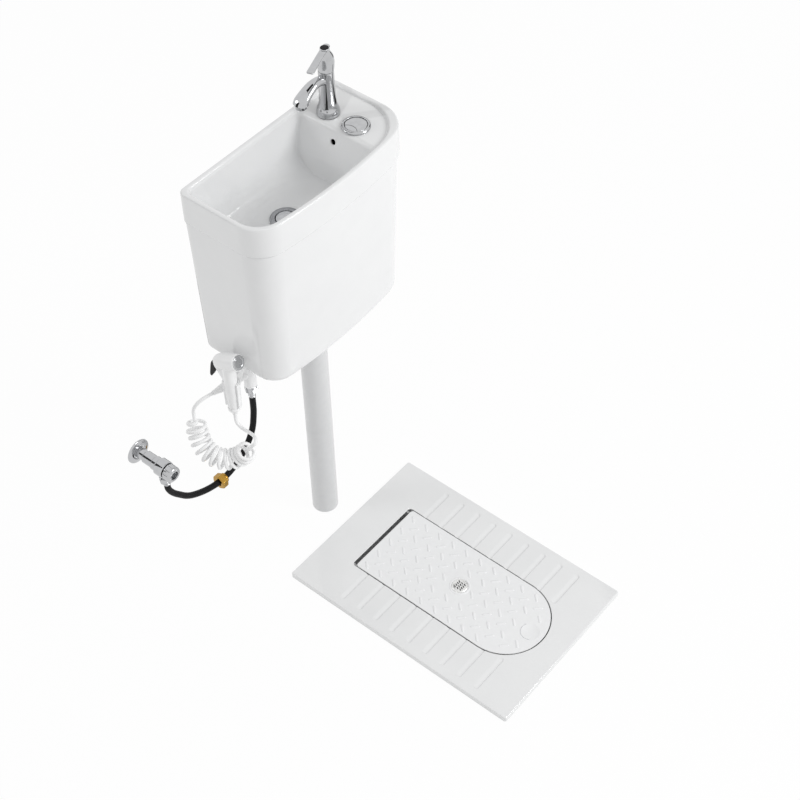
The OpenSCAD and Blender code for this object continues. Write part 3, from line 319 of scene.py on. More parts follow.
def turnedShape(profile, segments=64, closed=False):
    bm = bmesh.new()
    line = [bm.verts.new((r, 0, z)) for r, z in profile]
    edges = [bm.edges.new(pair) for pair in zip(line, line[1:] + (line[:1] if closed else []))]
    bmesh.ops.spin(bm, geom=line + edges, cent=(0, 0, 0), axis=(0, 0, 1), angle=math.tau, steps=segments,
                   use_merge=True)
    outwards(bm)
    return bm


def softProfile(points, steps=4):
    return [(p.x, p.y) for p in smoothRoute([Vector((r, z, 0)) for r, z in points], steps)]


def softEdges(bm, angle, radius, segments):
    sharp = [e for e in bm.edges if e.is_manifold and e.calc_face_angle(0) > math.radians(angle)]
    roundEdges(bm, sharp, radius, segments)


def placedBy(bm, matrix):
    bmesh.ops.transform(bm, matrix=matrix, verts=bm.verts)
    return bm


def moved(bm, x=0, y=0, z=0, turn=None):
    return placedBy(bm, Matrix.Translation((x, y, z)) @ (turn or Matrix.Identity(4)))


def addSheet(bm, corners):
    return bm.faces.new([bm.verts.new(corner) for corner in corners])


def thickened(bm, along):
    grown = bmesh.ops.extrude_face_region(bm, geom=bm.faces[:])
    bmesh.ops.translate(bm, vec=along, verts=[v for v in grown["geom"] if isinstance(v, bmesh.types.BMVert)])
    outwards(bm)


def addTo(bm, other):
    data = bpy.data.meshes.new("joined")
    other.to_mesh(data)
    other.free()
    bm.from_mesh(data)
    bpy.data.meshes.remove(data)


def standsFor(piece, slotName, body, *names):
    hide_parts(*names)
    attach(piece, body)


def roundedByAngle(piece, width, segments=3, angle=35):
    addModifier(piece, "BEVEL", width=width * 0.001, segments=segments, limit_method="ANGLE",
                angle_limit=math.radians(angle), use_clamp_overlap=True)
    applyModifiers(piece)
    smoothFaces(piece)
    evenShading(piece)


def sharpByAngle(piece, angle):
    bm = bmesh.new()
    bm.from_mesh(piece.data)
    for edge in bm.edges:
        edge.smooth = not (edge.is_manifold and edge.calc_face_angle(0) > math.radians(angle))
    bm.to_mesh(piece.data)
    bm.free()


# hoses
blackHose = {
    "radius": 6.5,
    "route": [(-406, 22, 438), (-405, 22, 422), (-397, 22, 403), (-383, 22, 383), (-356, 22, 353), (-313, 22, 329),
              (-269, 22, 319), (-229, 22, 327), (-194, 22, 351), (-171, 22, 385), (-162, 22, 424), (-160, 22, 450),
              (-160, 22, 478)],
}
hoseLine = smoothRoute([mm(*p) for p in blackHose["route"]], 3)
supplyHose = hoseCurve("supplyHose", hoseLine, mm(blackHose["radius"]), blackRubber)
standsFor(supplyHose, "black_rubber", "fixture", "supply_hose")

whiteHose = {
    "radius": 3.6,
    "coilRadius": 18.5,
    "turns": 13,
    "stepsPerTurn": 16,
    "fromTee": [(-244, 40, 545), (-251, 41.5, 545), (-258, 43, 545), (-267.5, 47, 542), (-276, 53, 533),
                (-281, 58, 521), (-283, 59.5, 509), (-284, 58, 498)],
    "middle": [(-284, 58, 498), (-290, 48, 470), (-297, 26, 441), (-291, -2, 426), (-274, -27, 426),
               (-260, -46, 442), (-257, -62, 468)],
    "side": (0.66, 0.56, -0.5),
    "toGrip": [(-257, -62, 468), (-256.4, -65.6, 474), (-255, -70, 481), (-251, -72, 486), (-244, -66, 487),
               (-236, -50, 480), (-230, -30, 470), (-227, -10, 465), (-227, 1, 472), (-227, 3, 482),
               (-227, 3, 489), (-227, 3, 496)],
}


def pointAlong(points, distance):
    for p, q in zip(points, points[1:]):
        step = (q - p).length
        if distance <= step:
            return p.lerp(q, distance / step)
        distance -= step
    return points[-1].copy()


def coilRoute(spec):
    middle = smoothRoute([mm(*p) for p in spec["middle"]], 8)
    side, radius = Vector(spec["side"]), mm(spec["radius"])
    whole, count = routeLength(middle), spec["turns"] * spec["stepsPerTurn"]
    route = [middle[0]]
    for i in range(count + 1):
        s = 2 * radius + (whole - 4 * radius) * i / count
        along = (pointAlong(middle, s + 0.003) - pointAlong(middle, s - 0.003)).normalized()
        across = along.cross(side).normalized()
        rise = min(1, min(i, count - i) / (spec["stepsPerTurn"] * 7 / 8))
        r = mm(spec["coilRadius"]) * math.sin(math.pi / 2 * rise)
        turn = 2 * math.pi * i / spec["stepsPerTurn"]
        route.append(pointAlong(middle, s) + r * (math.cos(turn) * across + math.sin(turn) * along.cross(across)))
    return route + [middle[-1]]


teeLead = smoothRoute([mm(*p) for p in whiteHose["fromTee"]], 2)
gripLead = smoothRoute([mm(*p) for p in whiteHose["toGrip"]], 2)
spiralLine = teeLead[:-1] + coilRoute(whiteHose) + gripLead[1:]
spiralHose = hoseCurve("spiralHose", spiralLine, mm(whiteHose["radius"]), whitePlastic)
standsFor(spiralHose, "white_plastic", "fixture", "hose_lead_tee", "spiral_hose", "hose_lead_grip")
print("hoses laid:", round(routeLength(hoseLine), 3), "and", round(routeLength(spiralLine), 3), "m")

# tank
tankBody = {"left": -211, "right": 198, "front": -114, "back": 93, "bow": 17, "cornerLeft": 60, "cornerRight": 76,
            "cornerBack": 15, "bottom": 600, "top": 940, "draft": 11, "foot": 20, "wall": 8,
            "fixings": ((-126.5, 862), (113.5, 862), 4.5), "fillHole": (-160, 22, 11.5), "boss": (19, 9),
            "flushHole": 30.5}


def bowedLoop(bm, left, right, front, back, cornerLeft, cornerRight, cornerBack, z, backLeft=None):
    half = (tankBody["right"] - tankBody["left"]) / 2
    bowRadius = (half ** 2 + tankBody["bow"] ** 2) / (2 * tankBody["bow"])
    middle = (tankBody["left"] + tankBody["right"]) / 2
    centreY = front + bowRadius
    backLeft = cornerBack if backLeft is None else backLeft
    leftX, rightX = left + cornerLeft, right - cornerRight
    leftY = centreY - math.sqrt((bowRadius - cornerLeft) ** 2 - (leftX - middle) ** 2)
    rightY = centreY - math.sqrt((bowRadius - cornerRight) ** 2 - (rightX - middle) ** 2)
    leftEnd = 360 + math.degrees(math.atan2(leftY - centreY, leftX - middle))
    rightEnd = 360 + math.degrees(math.atan2(rightY - centreY, rightX - middle))
    step = (rightEnd - leftEnd) / 20
    return closedLoop(bm, [
        spunArc(bm, (leftX, leftY), cornerLeft, 180, leftEnd - 180, 14, z),
        spunArc(bm, (middle, centreY), bowRadius, leftEnd + step, step * 18, 18, z),
        spunArc(bm, (rightX, rightY), cornerRight, rightEnd, 360 - rightEnd, 14, z),
        spunArc(bm, (right - cornerBack, back - cornerBack), cornerBack, 0, 90, 8, z),
        spunArc(bm, (left + backLeft, back - backLeft), backLeft, 90, 90, 8, z)])


def tankLoop(bm, inward, offWall, z):
    t = tankBody
    return bowedLoop(bm, t["left"] + inward, t["right"] - inward, t["front"] + inward, t["back"] - offWall,
                     t["cornerLeft"] - inward, t["cornerRight"] - inward, t["cornerBack"], z)


bm = bmesh.new()
loops = []
for step in range(10):
    angle = math.radians(90 - 10 * step)
    curve = tankBody["foot"] * (1 - math.cos(angle))
    loops.append(tankLoop(bm, tankBody["draft"] + curve, curve / 4,
                          tankBody["bottom"] + tankBody["foot"] * (1 - math.sin(angle))))
loops.append(tankLoop(bm, tankBody["draft"] * 0.5, 0, (tankBody["bottom"] + tankBody["foot"] + tankBody["top"]) / 2))
loops.append(tankLoop(bm, 0, 0, tankBody["top"] - 0.05))
bridge(bm, loops)
bmesh.ops.contextual_create(bm, geom=loops[0])
outwards(bm)
bmesh.ops.solidify(bm, geom=bm.faces[:], thickness=tankBody["wall"])
tankShell = meshPiece("tankShell", bm, glaze)
x, y, radius = tankBody["fillHole"]
bossRadius, bossHeight = tankBody["boss"]
bottom = tankBody["bottom"]
cutWith(tankShell, uprightCutter(x, y, bottom, bottom + bossHeight, bossRadius), "UNION")
cutWith(tankShell, uprightCutter(x, y, bottom - 10, bottom + 40, radius))
cutWith(tankShell, uprightCutter(0, 0, bottom - 10, bottom + 40, tankBody["flushHole"]))
*fixings, radius = tankBody["fixings"]
for x, z in fixings:
    cutWith(tankShell, rodCutter((x, 80, z), (x, 100, z), radius, segments=24))
evenShading(tankShell)
standsFor(tankShell, "ceramic", "fixture", "tank")
print("tank made")

# basin on top of the tank
basin = {"left": -214, "right": 201, "front": -117, "back": 93, "rim": 1007, "bottom": 940, "rimWidth": 11,
         "deck": 1001, "bowlRight": 92, "lipRadius": 14, "floor": 890, "wall": 5,
         "drain": (-55.5, -12), "drainRadius": 20.5, "tapHole": (123, 34, 11.2), "buttonHole": (124, -32, 24),
         "overflow": (-6, 974, 6), "trough": (44, 934), "sides": ((970, 3.5, 5.5), (955, 5, 10.5), (934, 7, 17))}


def basinLoop(bm, inward, z, right=None, cornerRight=None, cornerBack=None, back=None, cornerLeft=None):
    b = basin
    return bowedLoop(bm, b["left"] + inward, b["right"] - (inward if right is None else right), b["front"] + inward,
                     b["back"] - (inward if back is None else back),
                     60 - inward if cornerLeft is None else cornerLeft,
                     76 - inward if cornerRight is None else cornerRight,
                     max(15 - inward, 4) if cornerBack is None else cornerBack, z,
                     backLeft=max(15 - inward, 4) if cornerBack is None else max(cornerBack, 14))


bm = bmesh.new()
bandFoot = basinLoop(bm, 1, basin["bottom"])
bandSide = basinLoop(bm, 0, basin["bottom"] + 2)
rimOut = basinLoop(bm, 0, basin["rim"], back=0)
rimIn = basinLoop(bm, basin["rimWidth"], basin["rim"], cornerRight=88, cornerBack=12)
deckEdge = basinLoop(bm, basin["rimWidth"] + 0.6, basin["deck"], cornerRight=90, cornerBack=12)
loops = [bandFoot, bandSide, rimOut, rimIn, deckEdge]
endWall = basin["right"] - basin["bowlRight"]
for step in range(7):      # the deck rolls over into the bowl's end wall
    angle = math.radians(15 * step)
    radius = basin["lipRadius"]
    loops.append(basinLoop(bm, basin["rimWidth"] + 1 + 0.2 * step,
                           basin["deck"] - 0.4 - radius * (1 - math.cos(angle)),
                           right=endWall - radius * (1 - math.sin(angle)) + 0.3, cornerRight=16 - step,
                           cornerBack=13 - step))
for z, side, end in basin["sides"]:
    loops.append(basinLoop(bm, basin["rimWidth"] + side, z, right=endWall + end, cornerRight=7, cornerBack=6,
                           cornerLeft=49 - side))
sunk, sunkTop = basin["trough"]
for step in range(1, 10):      # the trough's floor is a quarter round on either side
    angle = math.radians(10 * step)
    side = sunk + 7 - sunk * math.cos(angle)
    loops.append(bowedLoop(bm, basin["left"] + basin["rimWidth"] + 7 + 15 * (1 - math.cos(angle)) ** 1.5,
                           basin["bowlRight"] - 17 - 6 * step / 9, basin["front"] + basin["rimWidth"] + side,
                           basin["back"] - basin["rimWidth"] - side, max(sunk - side, 14), 7, 6,
                           sunkTop - sunk * math.sin(angle), backLeft=14))
for radius, sink in ((basin["drainRadius"] + 14, 0.15), (basin["drainRadius"], 0.3)):
    loops.append(circleLoop(bm, radius, (*basin["drain"], basin["floor"] - sink), 68))
bridge(bm, loops)
outwards(bm)
deckSide = [e for e in deckEdge if e.is_valid and all(v.co.x > basin["bowlRight"] + 14 for v in e.verts)]
roundEdges(bm, deckSide, 4.5, 4)
roundEdges(bm, [e for e in rimIn if e.is_valid], 4.5, 5)
roundEdges(bm, [e for e in rimOut if e.is_valid], 4, 5)
outwards(bm)
top = max(bm.faces, key=lambda f: f.calc_center_median().z)
if top.normal.z < 0:
    bmesh.ops.reverse_faces(bm, faces=bm.faces)
basinShell = meshPiece("basinShell", bm, glaze)
addModifier(basinShell, "SOLIDIFY", thickness=basin["wall"] * 0.001, offset=-1, use_even_offset=False)
applyModifiers(basinShell)
deck = basin["deck"]
for x, y, radius in (basin["tapHole"], basin["buttonHole"]):
    cutWith(basinShell, uprightCutter(x, y, deck - 16, deck + 19, radius))
y, z, radius = basin["overflow"]
cutWith(basinShell, rodCutter((70, y, z), (104, y, z), radius))
smoothFaces(basinShell)
evenShading(basinShell, weight=80)
standsFor(basinShell, "ceramic", "fixture", "basin_top")
print("basin made:", len(basinShell.data.polygons))

# tap with its lever
tap = {"place": (123, 34), "deck": 1001,
       "column": ((22.3, 1), (22.5, 3.6), (22.2, 7.5), (20.8, 12.5), (18.6, 18.5), (16.6, 26), (15.5, 35), (14.9, 49),
                  (14.6, 65), (14.5, 84), (14.4, 95.2), (13.7, 96)),
       "spout": ((0, 70, 50, 9, 9.6), (10, 78.5, 32, 8.5, 9.6), (22, 83, 10, 8, 9.9), (35, 83.5, -12, 7.5, 10.8),
                 (48.2, 79.5, -28, 7.5, 12.15), (59.9, 73.5, -42, 8, 13.5), (67.9, 68, -64, 9.5, 14.55),
                 (70.8, 63, -90, 11.5, 15)),
       "hub": ((0, 0.4, 14), (0.02, 0.8, 14.7), (0.16, 2.6, 15), (0.36, 3.6, 15.2), (0.55, 3.6, 14.4),
               (0.68, 2.8, 12.4), (0.79, 1.4, 10.3), (0.88, 0.5, 9.2), (0.97, 0.05, 9), (1, 0, 8.5)),
       "hubFoot": 1097.6, "hubHeight": 48, "bladeTurn": 21, "bladeReach": 75, "bladeWidth": 14, "bladeThick": 3,
       "bladeDown": 4.6, "capSeat": 7.9, "stemHole": (8.4, 30),
       "aerator": (-70.8, 54, 63, 11)}


def ringLoop(bm, matrix, segments=40, square=1.0):
    made = bmesh.ops.create_circle(bm, cap_ends=False, segments=segments, radius=1)
    for v in made["verts"]:
        v.co = matrix @ Vector((math.copysign(abs(v.co.x) ** square, v.co.x),
                                math.copysign(abs(v.co.y) ** square, v.co.y), 0))
    bm.verts.ensure_lookup_table()
    return list({e for v in made["verts"] for e in v.link_edges})


def loftedShape(matrices, segments=40, square=1.0):
    bm = bmesh.new()
    loops = [ringLoop(bm, matrix, segments, square) for matrix in matrices]
    bridge(bm, loops)
    for loop in (loops[0], loops[-1]):
        bmesh.ops.contextual_create(bm, geom=loop)
    outwards(bm)
    return bm


tapX, tapY = tap["place"]
profile = [(0, 1)] + softProfile(tap["column"], 3) + [(0, 96)]
tapColumn = meshPiece("tapColumn", moved(turnedShape(profile, 96), tapX, tapY, tap["deck"]), chrome)
shapes = zip(smoothRoute([Vector(s[:3]) for s in tap["spout"]], 4),
             smoothRoute([Vector((*s[3:], 0)) for s in tap["spout"]], 4))
spout = loftedShape([Matrix.Translation((tapX - place.x, tapY, tap["deck"] + place.y)) @ turnMatrix(place.z - 90, "Y")
                     @ Matrix.Diagonal((size.x, size.y, 1, 1)) for place, size in shapes], 48, 0.82)
cutWith(tapColumn, meshPiece("spout", spout, chrome), "UNION")
cutWith(tapColumn, uprightCutter(tapX, tapY, tap["deck"] - 52, tap["deck"] + 4, 10.2), "UNION")
roundedByAngle(tapColumn, 0.7, 3, 40)
standsFor(tapColumn, "chrome", "fixture", "tap_body")

across, low, high, radius = tap["aerator"]
profile = [(0, low + 1.6), (radius - 3, low + 1.6), (radius - 2.6, low), (radius - 0.9, low), (radius - 0.3, low + 0.5),
           (radius - 0.2, high - 2.4), (radius - 0.9, high - 2), (radius - 0.9, high), (0, high)]
aerator = meshPiece("aerator", moved(turnedShape(profile, 60), tapX + across, tapY, tap["deck"]), chrome)
teeth = bmesh.new()
for k in range(30):
    place = turnMatrix(12 * k, "Z") @ Matrix.Translation((radius + 0.15, 0, (low + high) / 2 - 1))
    addRod(teeth, 0.5, 5, place, 8)
cutWith(aerator, meshPiece("teeth", moved(teeth, tapX + across, tapY, tap["deck"]), chrome))
roundedByAngle(aerator, 0.2, 2, 50)
standsFor(aerator, "chrome", "fixture", "tap_aerator")

hubRings = smoothRoute([Vector(ring) for ring in tap["hub"]], 3)
hub = loftedShape([Matrix.Translation((ring.y, 0, tap["hubHeight"] * ring.x)) @ Matrix.Diagonal((ring.z, ring.z, 1, 1))
                   for ring in hubRings], 64)
half, reach, thick = tap["bladeWidth"] / 2, tap["bladeReach"], tap["bladeThick"]
blade = bmesh.new()
outline = closedLoop(blade, [
    spunArc(blade, (2.5 - reach, half - 2.5), 2.5, 90, 90, 5, 0),
    spunArc(blade, (3.5 - reach, 3.5 - half), 3.5, 180, 90, 6, 0),
    spunArc(blade, (8, 0), half, -90, 180, 16, 0)])
bmesh.ops.contextual_create(blade, geom=outline)
thickened(blade, (0, 0, thick))
softEdges(blade, 50, 0.9, 4)
turn = Matrix.Translation((tapX, tapY, tap["hubFoot"])) @ turnMatrix(tap["bladeTurn"], "Z")
tapLever = meshPiece("tapLever", placedBy(hub, turn), chrome)
placedBy(blade, turn @ Matrix.Translation((0, 0, tap["hubHeight"] - tap["bladeDown"])))
cutWith(tapLever, meshPiece("blade", blade, chrome), "UNION")
top = tap["hubFoot"] + tap["hubHeight"]
cutWith(tapLever, uprightCutter(tapX, tapY, top - 1, top + 3, tap["capSeat"], segments=64))
stemRadius, stemDeep = tap["stemHole"]
cutWith(tapLever, uprightCutter(tapX, tapY, tap["hubFoot"] - 1, tap["hubFoot"] + stemDeep, stemRadius))
roundedByAngle(tapLever, 0.5, 3, 40)
standsFor(tapLever, "chrome", "tap_handle", "tap_lever")
profile = [(0, -1), (7.6, -1), (7.8, -0.7), (7.8, -0.3), (7.5, 0.05), (6.6, 0.2), (0, 0.3)]
tapCap = meshPiece("tapCap", moved(turnedShape(profile, 48), tapX, tapY, top), darkPlastic)
standsFor(tapCap, "dark_plastic", "tap_handle", "tap_cap")
print("tap made:", len(tapColumn.data.polygons), len(tapLever.data.polygons))

# two-part flush button
button = {"place": (124, -32), "deck": 1001, "radius": 21.5, "smallCircle": (-25.5, 18, 18.7), "levels": (4.6, 4.2),
          "stems": (8, -15), "stemRadius": 3,
          "bezel": ((21.9, -34), (23.5, -34), (23.5, 0), (27.3, 0), (27.5, 0.3), (27.4, 2), (26.8, 3.4), (25.7, 4.5),
                    (24.4, 5), (23, 5), (22.2, 4.7), (21.9, 4.1))}
buttonX, buttonY = button["place"]
atButton = (buttonX, buttonY, button["deck"])
bezel = meshPiece("buttonBezel", moved(turnedShape(button["bezel"], 96, closed=True), *atButton), chrome)
guide = turnedShape([(0, -20), (23, -20), (23, -17), (0, -17)], 64)
cutWith(bezel, meshPiece("guide", moved(guide, *atButton), chrome), "UNION")
for offset in button["stems"]:
    cutWith(bezel, uprightCutter(buttonX + offset, buttonY, 975, 990, button["stemRadius"] + 0.1, segments=24))
roundedByAngle(bezel, 0.25, 2, 50)
standsFor(bezel, "chrome", "fixture", "button_bezel")


def halfOfButton(name, level, operation, radius, stem, node, body):
    r = button["radius"]
    profile = [(0, level - 0.35), (12, level - 0.2), (18.6, level), (20.2, level - 0.15), (21.1, level - 0.6),
               (r, level - 1.6), (r, 0.1), (0, 0.1)]
    piece = meshPiece(name, moved(turnedShape(profile, 96), *atButton), chrome)
    cutWith(piece, uprightCutter(buttonX + shift, buttonY, 990, 1020, radius, segments=96), operation)
    rod = uprightCutter(buttonX + stem, buttonY, 955, 1003, button["stemRadius"], segments=24)
    cutWith(piece, rod, "UNION")
    roundedByAngle(piece, 0.6, 3, 45)
    standsFor(piece, "chrome", body, node)


shift, smallRadius, cutRadius = button["smallCircle"]
fullLevel, halfLevel = button["levels"]
fullStem, halfStem = button["stems"]
halfOfButton("fullFlush", fullLevel, "DIFFERENCE", cutRadius, fullStem, "button_full", "full_flush")
halfOfButton("halfFlush", halfLevel, "INTERSECT", smallRadius, halfStem, "button_half", "half_flush")
print("button made")

# basin waste
waste = {"at": (*basin["drain"], 891.2), "stem": 3, "barDown": 17}
wasteX, wasteY, wasteZ = waste["at"]
rim = softProfile([(30, 0.5), (29.8, 1.4), (28, 2.4), (24.5, 2.9), (21, 2.9)], 3)
profile = [(16, -46), (20, -46), (20, 0), (29.6, 0)] + rim + [(20.2, 2.2), (19.8, 0.4), (19.8, -1.2), (16, -1.2)]
flange = meshPiece("wasteFlange", moved(turnedShape(profile, 72, closed=True), *waste["at"]), drainGrey)
bar = rodShape((-17.5, 0, -waste["barDown"]), (17.5, 0, -waste["barDown"]), 3.2, 16)
cross = meshPiece("wasteCross", moved(bar, *waste["at"]), drainGrey)
cutWith(cross, uprightCutter(wasteX, wasteY, 860, 890, waste["stem"] + 0.06))
evenShading(flange)
standsFor(flange, "drain_grey", "fixture", "waste_flange")
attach(cross, "fixture")
dome = softProfile([(18.8, 1.7), (17.6, 2.5), (14, 2.95), (8, 3.2), (0, 3.3)], 3)
profile = [(0, -0.9), (17.6, -0.9), (18.6, -0.2), (18.9, 0.8)] + dome
plugDisc = meshPiece("plugDisc", moved(turnedShape(profile, 72), *waste["at"]), plugMetal)
cutWith(plugDisc, uprightCutter(wasteX, wasteY, wasteZ - 26, wasteZ + 0.3, waste["stem"], segments=24), "UNION")
smoothFaces(plugDisc)
evenShading(plugDisc)
standsFor(plugDisc, "chrome", "plug", "waste_plug")
print("waste made")

# floor pan with its foot ribs
pan = {"half": 200, "front": -654, "back": -77, "plate": 12, "corner": 5, "edge": 2.5, "lip": 1.1,
       "open": {"half": 98.5, "back": -164, "round": -501.5, "corner": 8},
       "undercut": ((-0.5, 26, 7), (-0.5, 26, -9), (5, 23, -10), (5, 23, 4), (9, 21, 3.4)),
       "inside": ((89.5, -143, 12, 3, 0), (89.5, -144, 14, -26, 0), (87, -165, 15, -62, 0.04),
                  (81.5, -177, 16, -97.5, 0.1), (75.5, -183, 17, -124, 0.15), (67.5, -189, 18, -144, 0.18),
                  (57, -196, 19, -156, 0.2), (47.5, -203, 20, -161, 0.2)),
       "outside": ((101.5, -132, 12, 0, 0), (101.5, -132, 14, -26, 0), (96, -157, 15, -64, 0.04),
                   (90.5, -168, 16, -102, 0.1), (84.5, -174, 17, -131, 0.15), (76.5, -180, 18, -153, 0.18),
                   (66, -187, 19, -165, 0.2), (56.5, -194, 20, -170, 0.2)),
       "outlet": ((45, -161.5), (45, -215), (52, -215), (52, -174)), "horn": (-70, -82, 41.5, 33.8, 28.5)}
ribs = {"count": 9, "pitch": 44.5, "width": 14, "depth": 2.0, "lean": 3.2, "from": 86.5, "to": 182.5, "middle": -383}


def slotLoop(bm, half, back, centre, corner, z, slope=0):      # square at the back, round at the front
    first = len(bm.verts)
    loop = closedLoop(bm, [
        spunArc(bm, (0, centre), half, 180, 180, 48, z),
        spunArc(bm, (half - corner, back - corner), corner, 0, 90, 6, z),
        spunArc(bm, (corner - half, back - corner), corner, 90, 90, 6, z)])
    for v in bm.verts[first:]:
        v.co.z += slope * (v.co.y - centre)
    return loop


def openLoop(bm, outward, z, back=None):
    o = pan["open"]
    back = outward if back is None else back
    return slotLoop(bm, o["half"] + outward, o["back"] + back, o["round"], o["corner"], z)


def wallLoops(bm, rows):
    return [slotLoop(bm, half, back, pan["open"]["round"], corner, z, slope) for half, back, corner, z, slope in rows]


def plateLoop(bm, z, inward=0):
    h, front, back = pan["half"] - inward, pan["front"] + inward, pan["back"] - inward
    c = max(pan["corner"] - inward, 1.5)
    return closedLoop(bm, [
        spunArc(bm, (c - h, front + c), c, 180, 90, 5, z), spunArc(bm, (h - c, front + c), c, 270, 90, 5, z),
        spunArc(bm, (h - c, back - c), c, 0, 90, 5, z), spunArc(bm, (c - h, back - c), c, 90, 90, 5, z)])


# a capsule that swells up from a flat sheet
def softBump(bm, length, width, height, rings, matrix, endSteps, lean=0.0):
    half, reach = width / 2, length / 2 - width / 2
    first = len(bm.verts)
    closedLoop(bm, [spunArc(bm, (reach, 0), half, -90, 180, endSteps, 0),
                    spunArc(bm, (-reach, 0), half, 90, 180, endSteps, 0)])
    bm.verts.ensure_lookup_table()
    face = bm.faces.new(bm.verts[first:])
    parts, last = rings + 0.35, 0
    for k in range(1, rings + 1):
        share = max(0, min(1, (k / parts - 0.08) * 1.13))
        level = height * (0.5 - 0.5 * math.cos(math.pi * share))
        bmesh.ops.inset_region(bm, faces=[face], thickness=half / parts, depth=0, use_even_offset=True,
                               use_boundary=True)
        for v in face.verts:
            v.co.z += level - last
        last = level
    bm.verts.ensure_lookup_table()
    for v in bm.verts[first:]:
        v.co.y -= lean * v.co.z / height
    bmesh.ops.transform(bm, matrix=matrix, verts=bm.verts[first:])


bm = bmesh.new()
top, edge, lip = pan["plate"], pan["edge"], pan["lip"]
skirt, mouth = [plateLoop(bm, 0)], []
for step in range(6):      # the plate's edge and the opening's edge are quarter rounds
    angle = math.radians(18 * step)
    skirt.append(plateLoop(bm, top - edge * (1 - math.sin(angle)), edge * (1 - math.cos(angle))))
    mouth.append(openLoop(bm, lip * (1 - math.cos(angle)), top - lip * (1 - math.sin(angle))))
skirt.append(plateLoop(bm, top, edge + 1.5))
mouth.append(openLoop(bm, lip + 1.2, top))
loops = mouth[::-1]      # below its edge the opening widens to a gutter, so the gap round the cover stays dark
loops += [openLoop(bm, -inward, z, back) for inward, back, z in pan["undercut"]]
loops += wallLoops(bm, pan["inside"])
loops += [circleLoop(bm, radius, (0, pan["open"]["round"], z)) for radius, z in pan["outlet"]]
loops += wallLoops(bm, reversed(pan["outside"]))
bridge(bm, loops + skirt)
bmesh.ops.triangle_fill(bm, edges=skirt[-1] + mouth[-1], use_beauty=True, normal=(0, 0, 1))
outwards(bm)
panShell = meshPiece("panShell", bm, panGlaze)
hornY, hornZ, hornOut, hornIn, hornBore = pan["horn"]
cutWith(panShell, rodCutter((0, hornY, hornZ), (0, -170, hornZ), hornOut), "UNION")
cutWith(panShell, rodCutter((0, hornY + 5, hornZ), (0, -185, hornZ), hornBore))
cutWith(panShell, rodCutter((0, hornY + 5, hornZ), (0, hornY - 24, hornZ), hornIn))
middle, length = (ribs["from"] + ribs["to"]) / 2, ribs["to"] - ribs["from"]
bm = bmesh.new()      # each foot rib is a shallow step: a broad slope down to the front, then a short steep rise
for k in range(ribs["count"]):
    y = ribs["middle"] + (k - (ribs["count"] - 1) / 2) * ribs["pitch"]
    for side in (1, -1):
        place = Matrix.Translation((side * middle, y, top + 0.02)) @ Matrix.Diagonal((side, 1, 1, 1))
        softBump(bm, length, ribs["width"], -ribs["depth"], 12, place, 12, ribs["lean"])
bmesh.ops.holes_fill(bm, edges=bm.edges, sides=0)
outwards(bm)
cutWith(panShell, meshPiece("ribCutter", bm, panGlaze))
sharpByAngle(panShell, 16)
smoothFaces(panShell)
evenShading(panShell, weight=80)
standsFor(panShell, "ceramic", "fixture", "pan")
print("pan made:", len(panShell.data.polygons))

# lift-off cover plate and its strainer
cover = {"half": 96.2, "back": -172.5, "round": -501.5, "corner": 7, "low": 4, "high": 12, "edge": 0.5,
         "under": (4.5, 10.4), "strainer": (-381.25, 18), "scoop": (-567, 21, 3), "arc": (20.3, 0.7, 2),
         "seat": ((18.3, 11.9), (18.9, 12.7), (20.2, 13.1), (21.8, 12.9), (23, 12.3), (23.6, 11.9)),
         "stroke": {"length": 22, "width": 6.6, "height": 1.7, "stepX": 39.6, "stepY": 37.3, "shift": -2.4}}
bm = bmesh.new()
under, underZ = cover["under"]
rows = ((0, cover["high"]), (0, underZ), (under, underZ - 0.6), (under, cover["low"]))
coverLoops = [slotLoop(bm, cover["half"] - inward, cover["back"] - inward, cover["round"],
                       max(cover["corner"] - inward, 2), z) for inward, z in rows]
bridge(bm, coverLoops)
for end in (coverLoops[0], coverLoops[-1]):
    bmesh.ops.contextual_create(bm, geom=end)
outwards(bm)
softEdges(bm, 60, cover["edge"], 3)
coverPlate = meshPiece("coverPlate", bm, satinWhite)
scoopY, scoopR, scoopDepth = cover["scoop"]
ballR = (scoopR ** 2 + scoopDepth ** 2) / (2 * scoopDepth)
ball = bmesh.new()
bmesh.ops.create_icosphere(ball, subdivisions=6, radius=ballR,
                           matrix=Matrix.Translation((0, scoopY, cover["high"] - scoopDepth + ballR)))
cutWith(coverPlate, meshPiece("scoopBall", ball, satinWhite))
arcR, arcHalf, arcDeep = cover["arc"]
arc = bmesh.new()      # the edge of the finger hold is cut in sharply on one side
arcIn, arcOut, arcLow, arcHigh = arcR - arcHalf, arcR + arcHalf, cover["high"] - arcDeep, cover["high"] + 1
sheet = addSheet(arc, ((arcIn, 0, arcLow), (arcOut, 0, arcLow), (arcOut, 0, arcHigh), (arcIn, 0, arcHigh)))
bmesh.ops.spin(arc, geom=[sheet], cent=(0, 0, 0), axis=(0, 0, 1), angle=math.radians(150), steps=40)
outwards(arc)
cutWith(coverPlate, meshPiece("scoopEdge", moved(arc, 0, scoopY, 0, turnMatrix(60, "Z")), satinWhite))
strainerY, strainerR = cover["strainer"]
cutWith(coverPlate, uprightCutter(0, strainerY, 0, 20, strainerR - 3.6))
roundedByAngle(coverPlate, 0.3, 2, 12)


def strokeFits(x, y):
    s = cover["stroke"]
    room, far = cover["half"] - 12, s["length"] / 2 + 3
    return (abs(x) < room and y < cover["back"] - 12
            and (y > cover["round"] or math.hypot(x, y - cover["round"]) < room)
            and math.hypot(x, y - strainerY) > strainerR + far and math.hypot(x, y - scoopY) > scoopR + far)


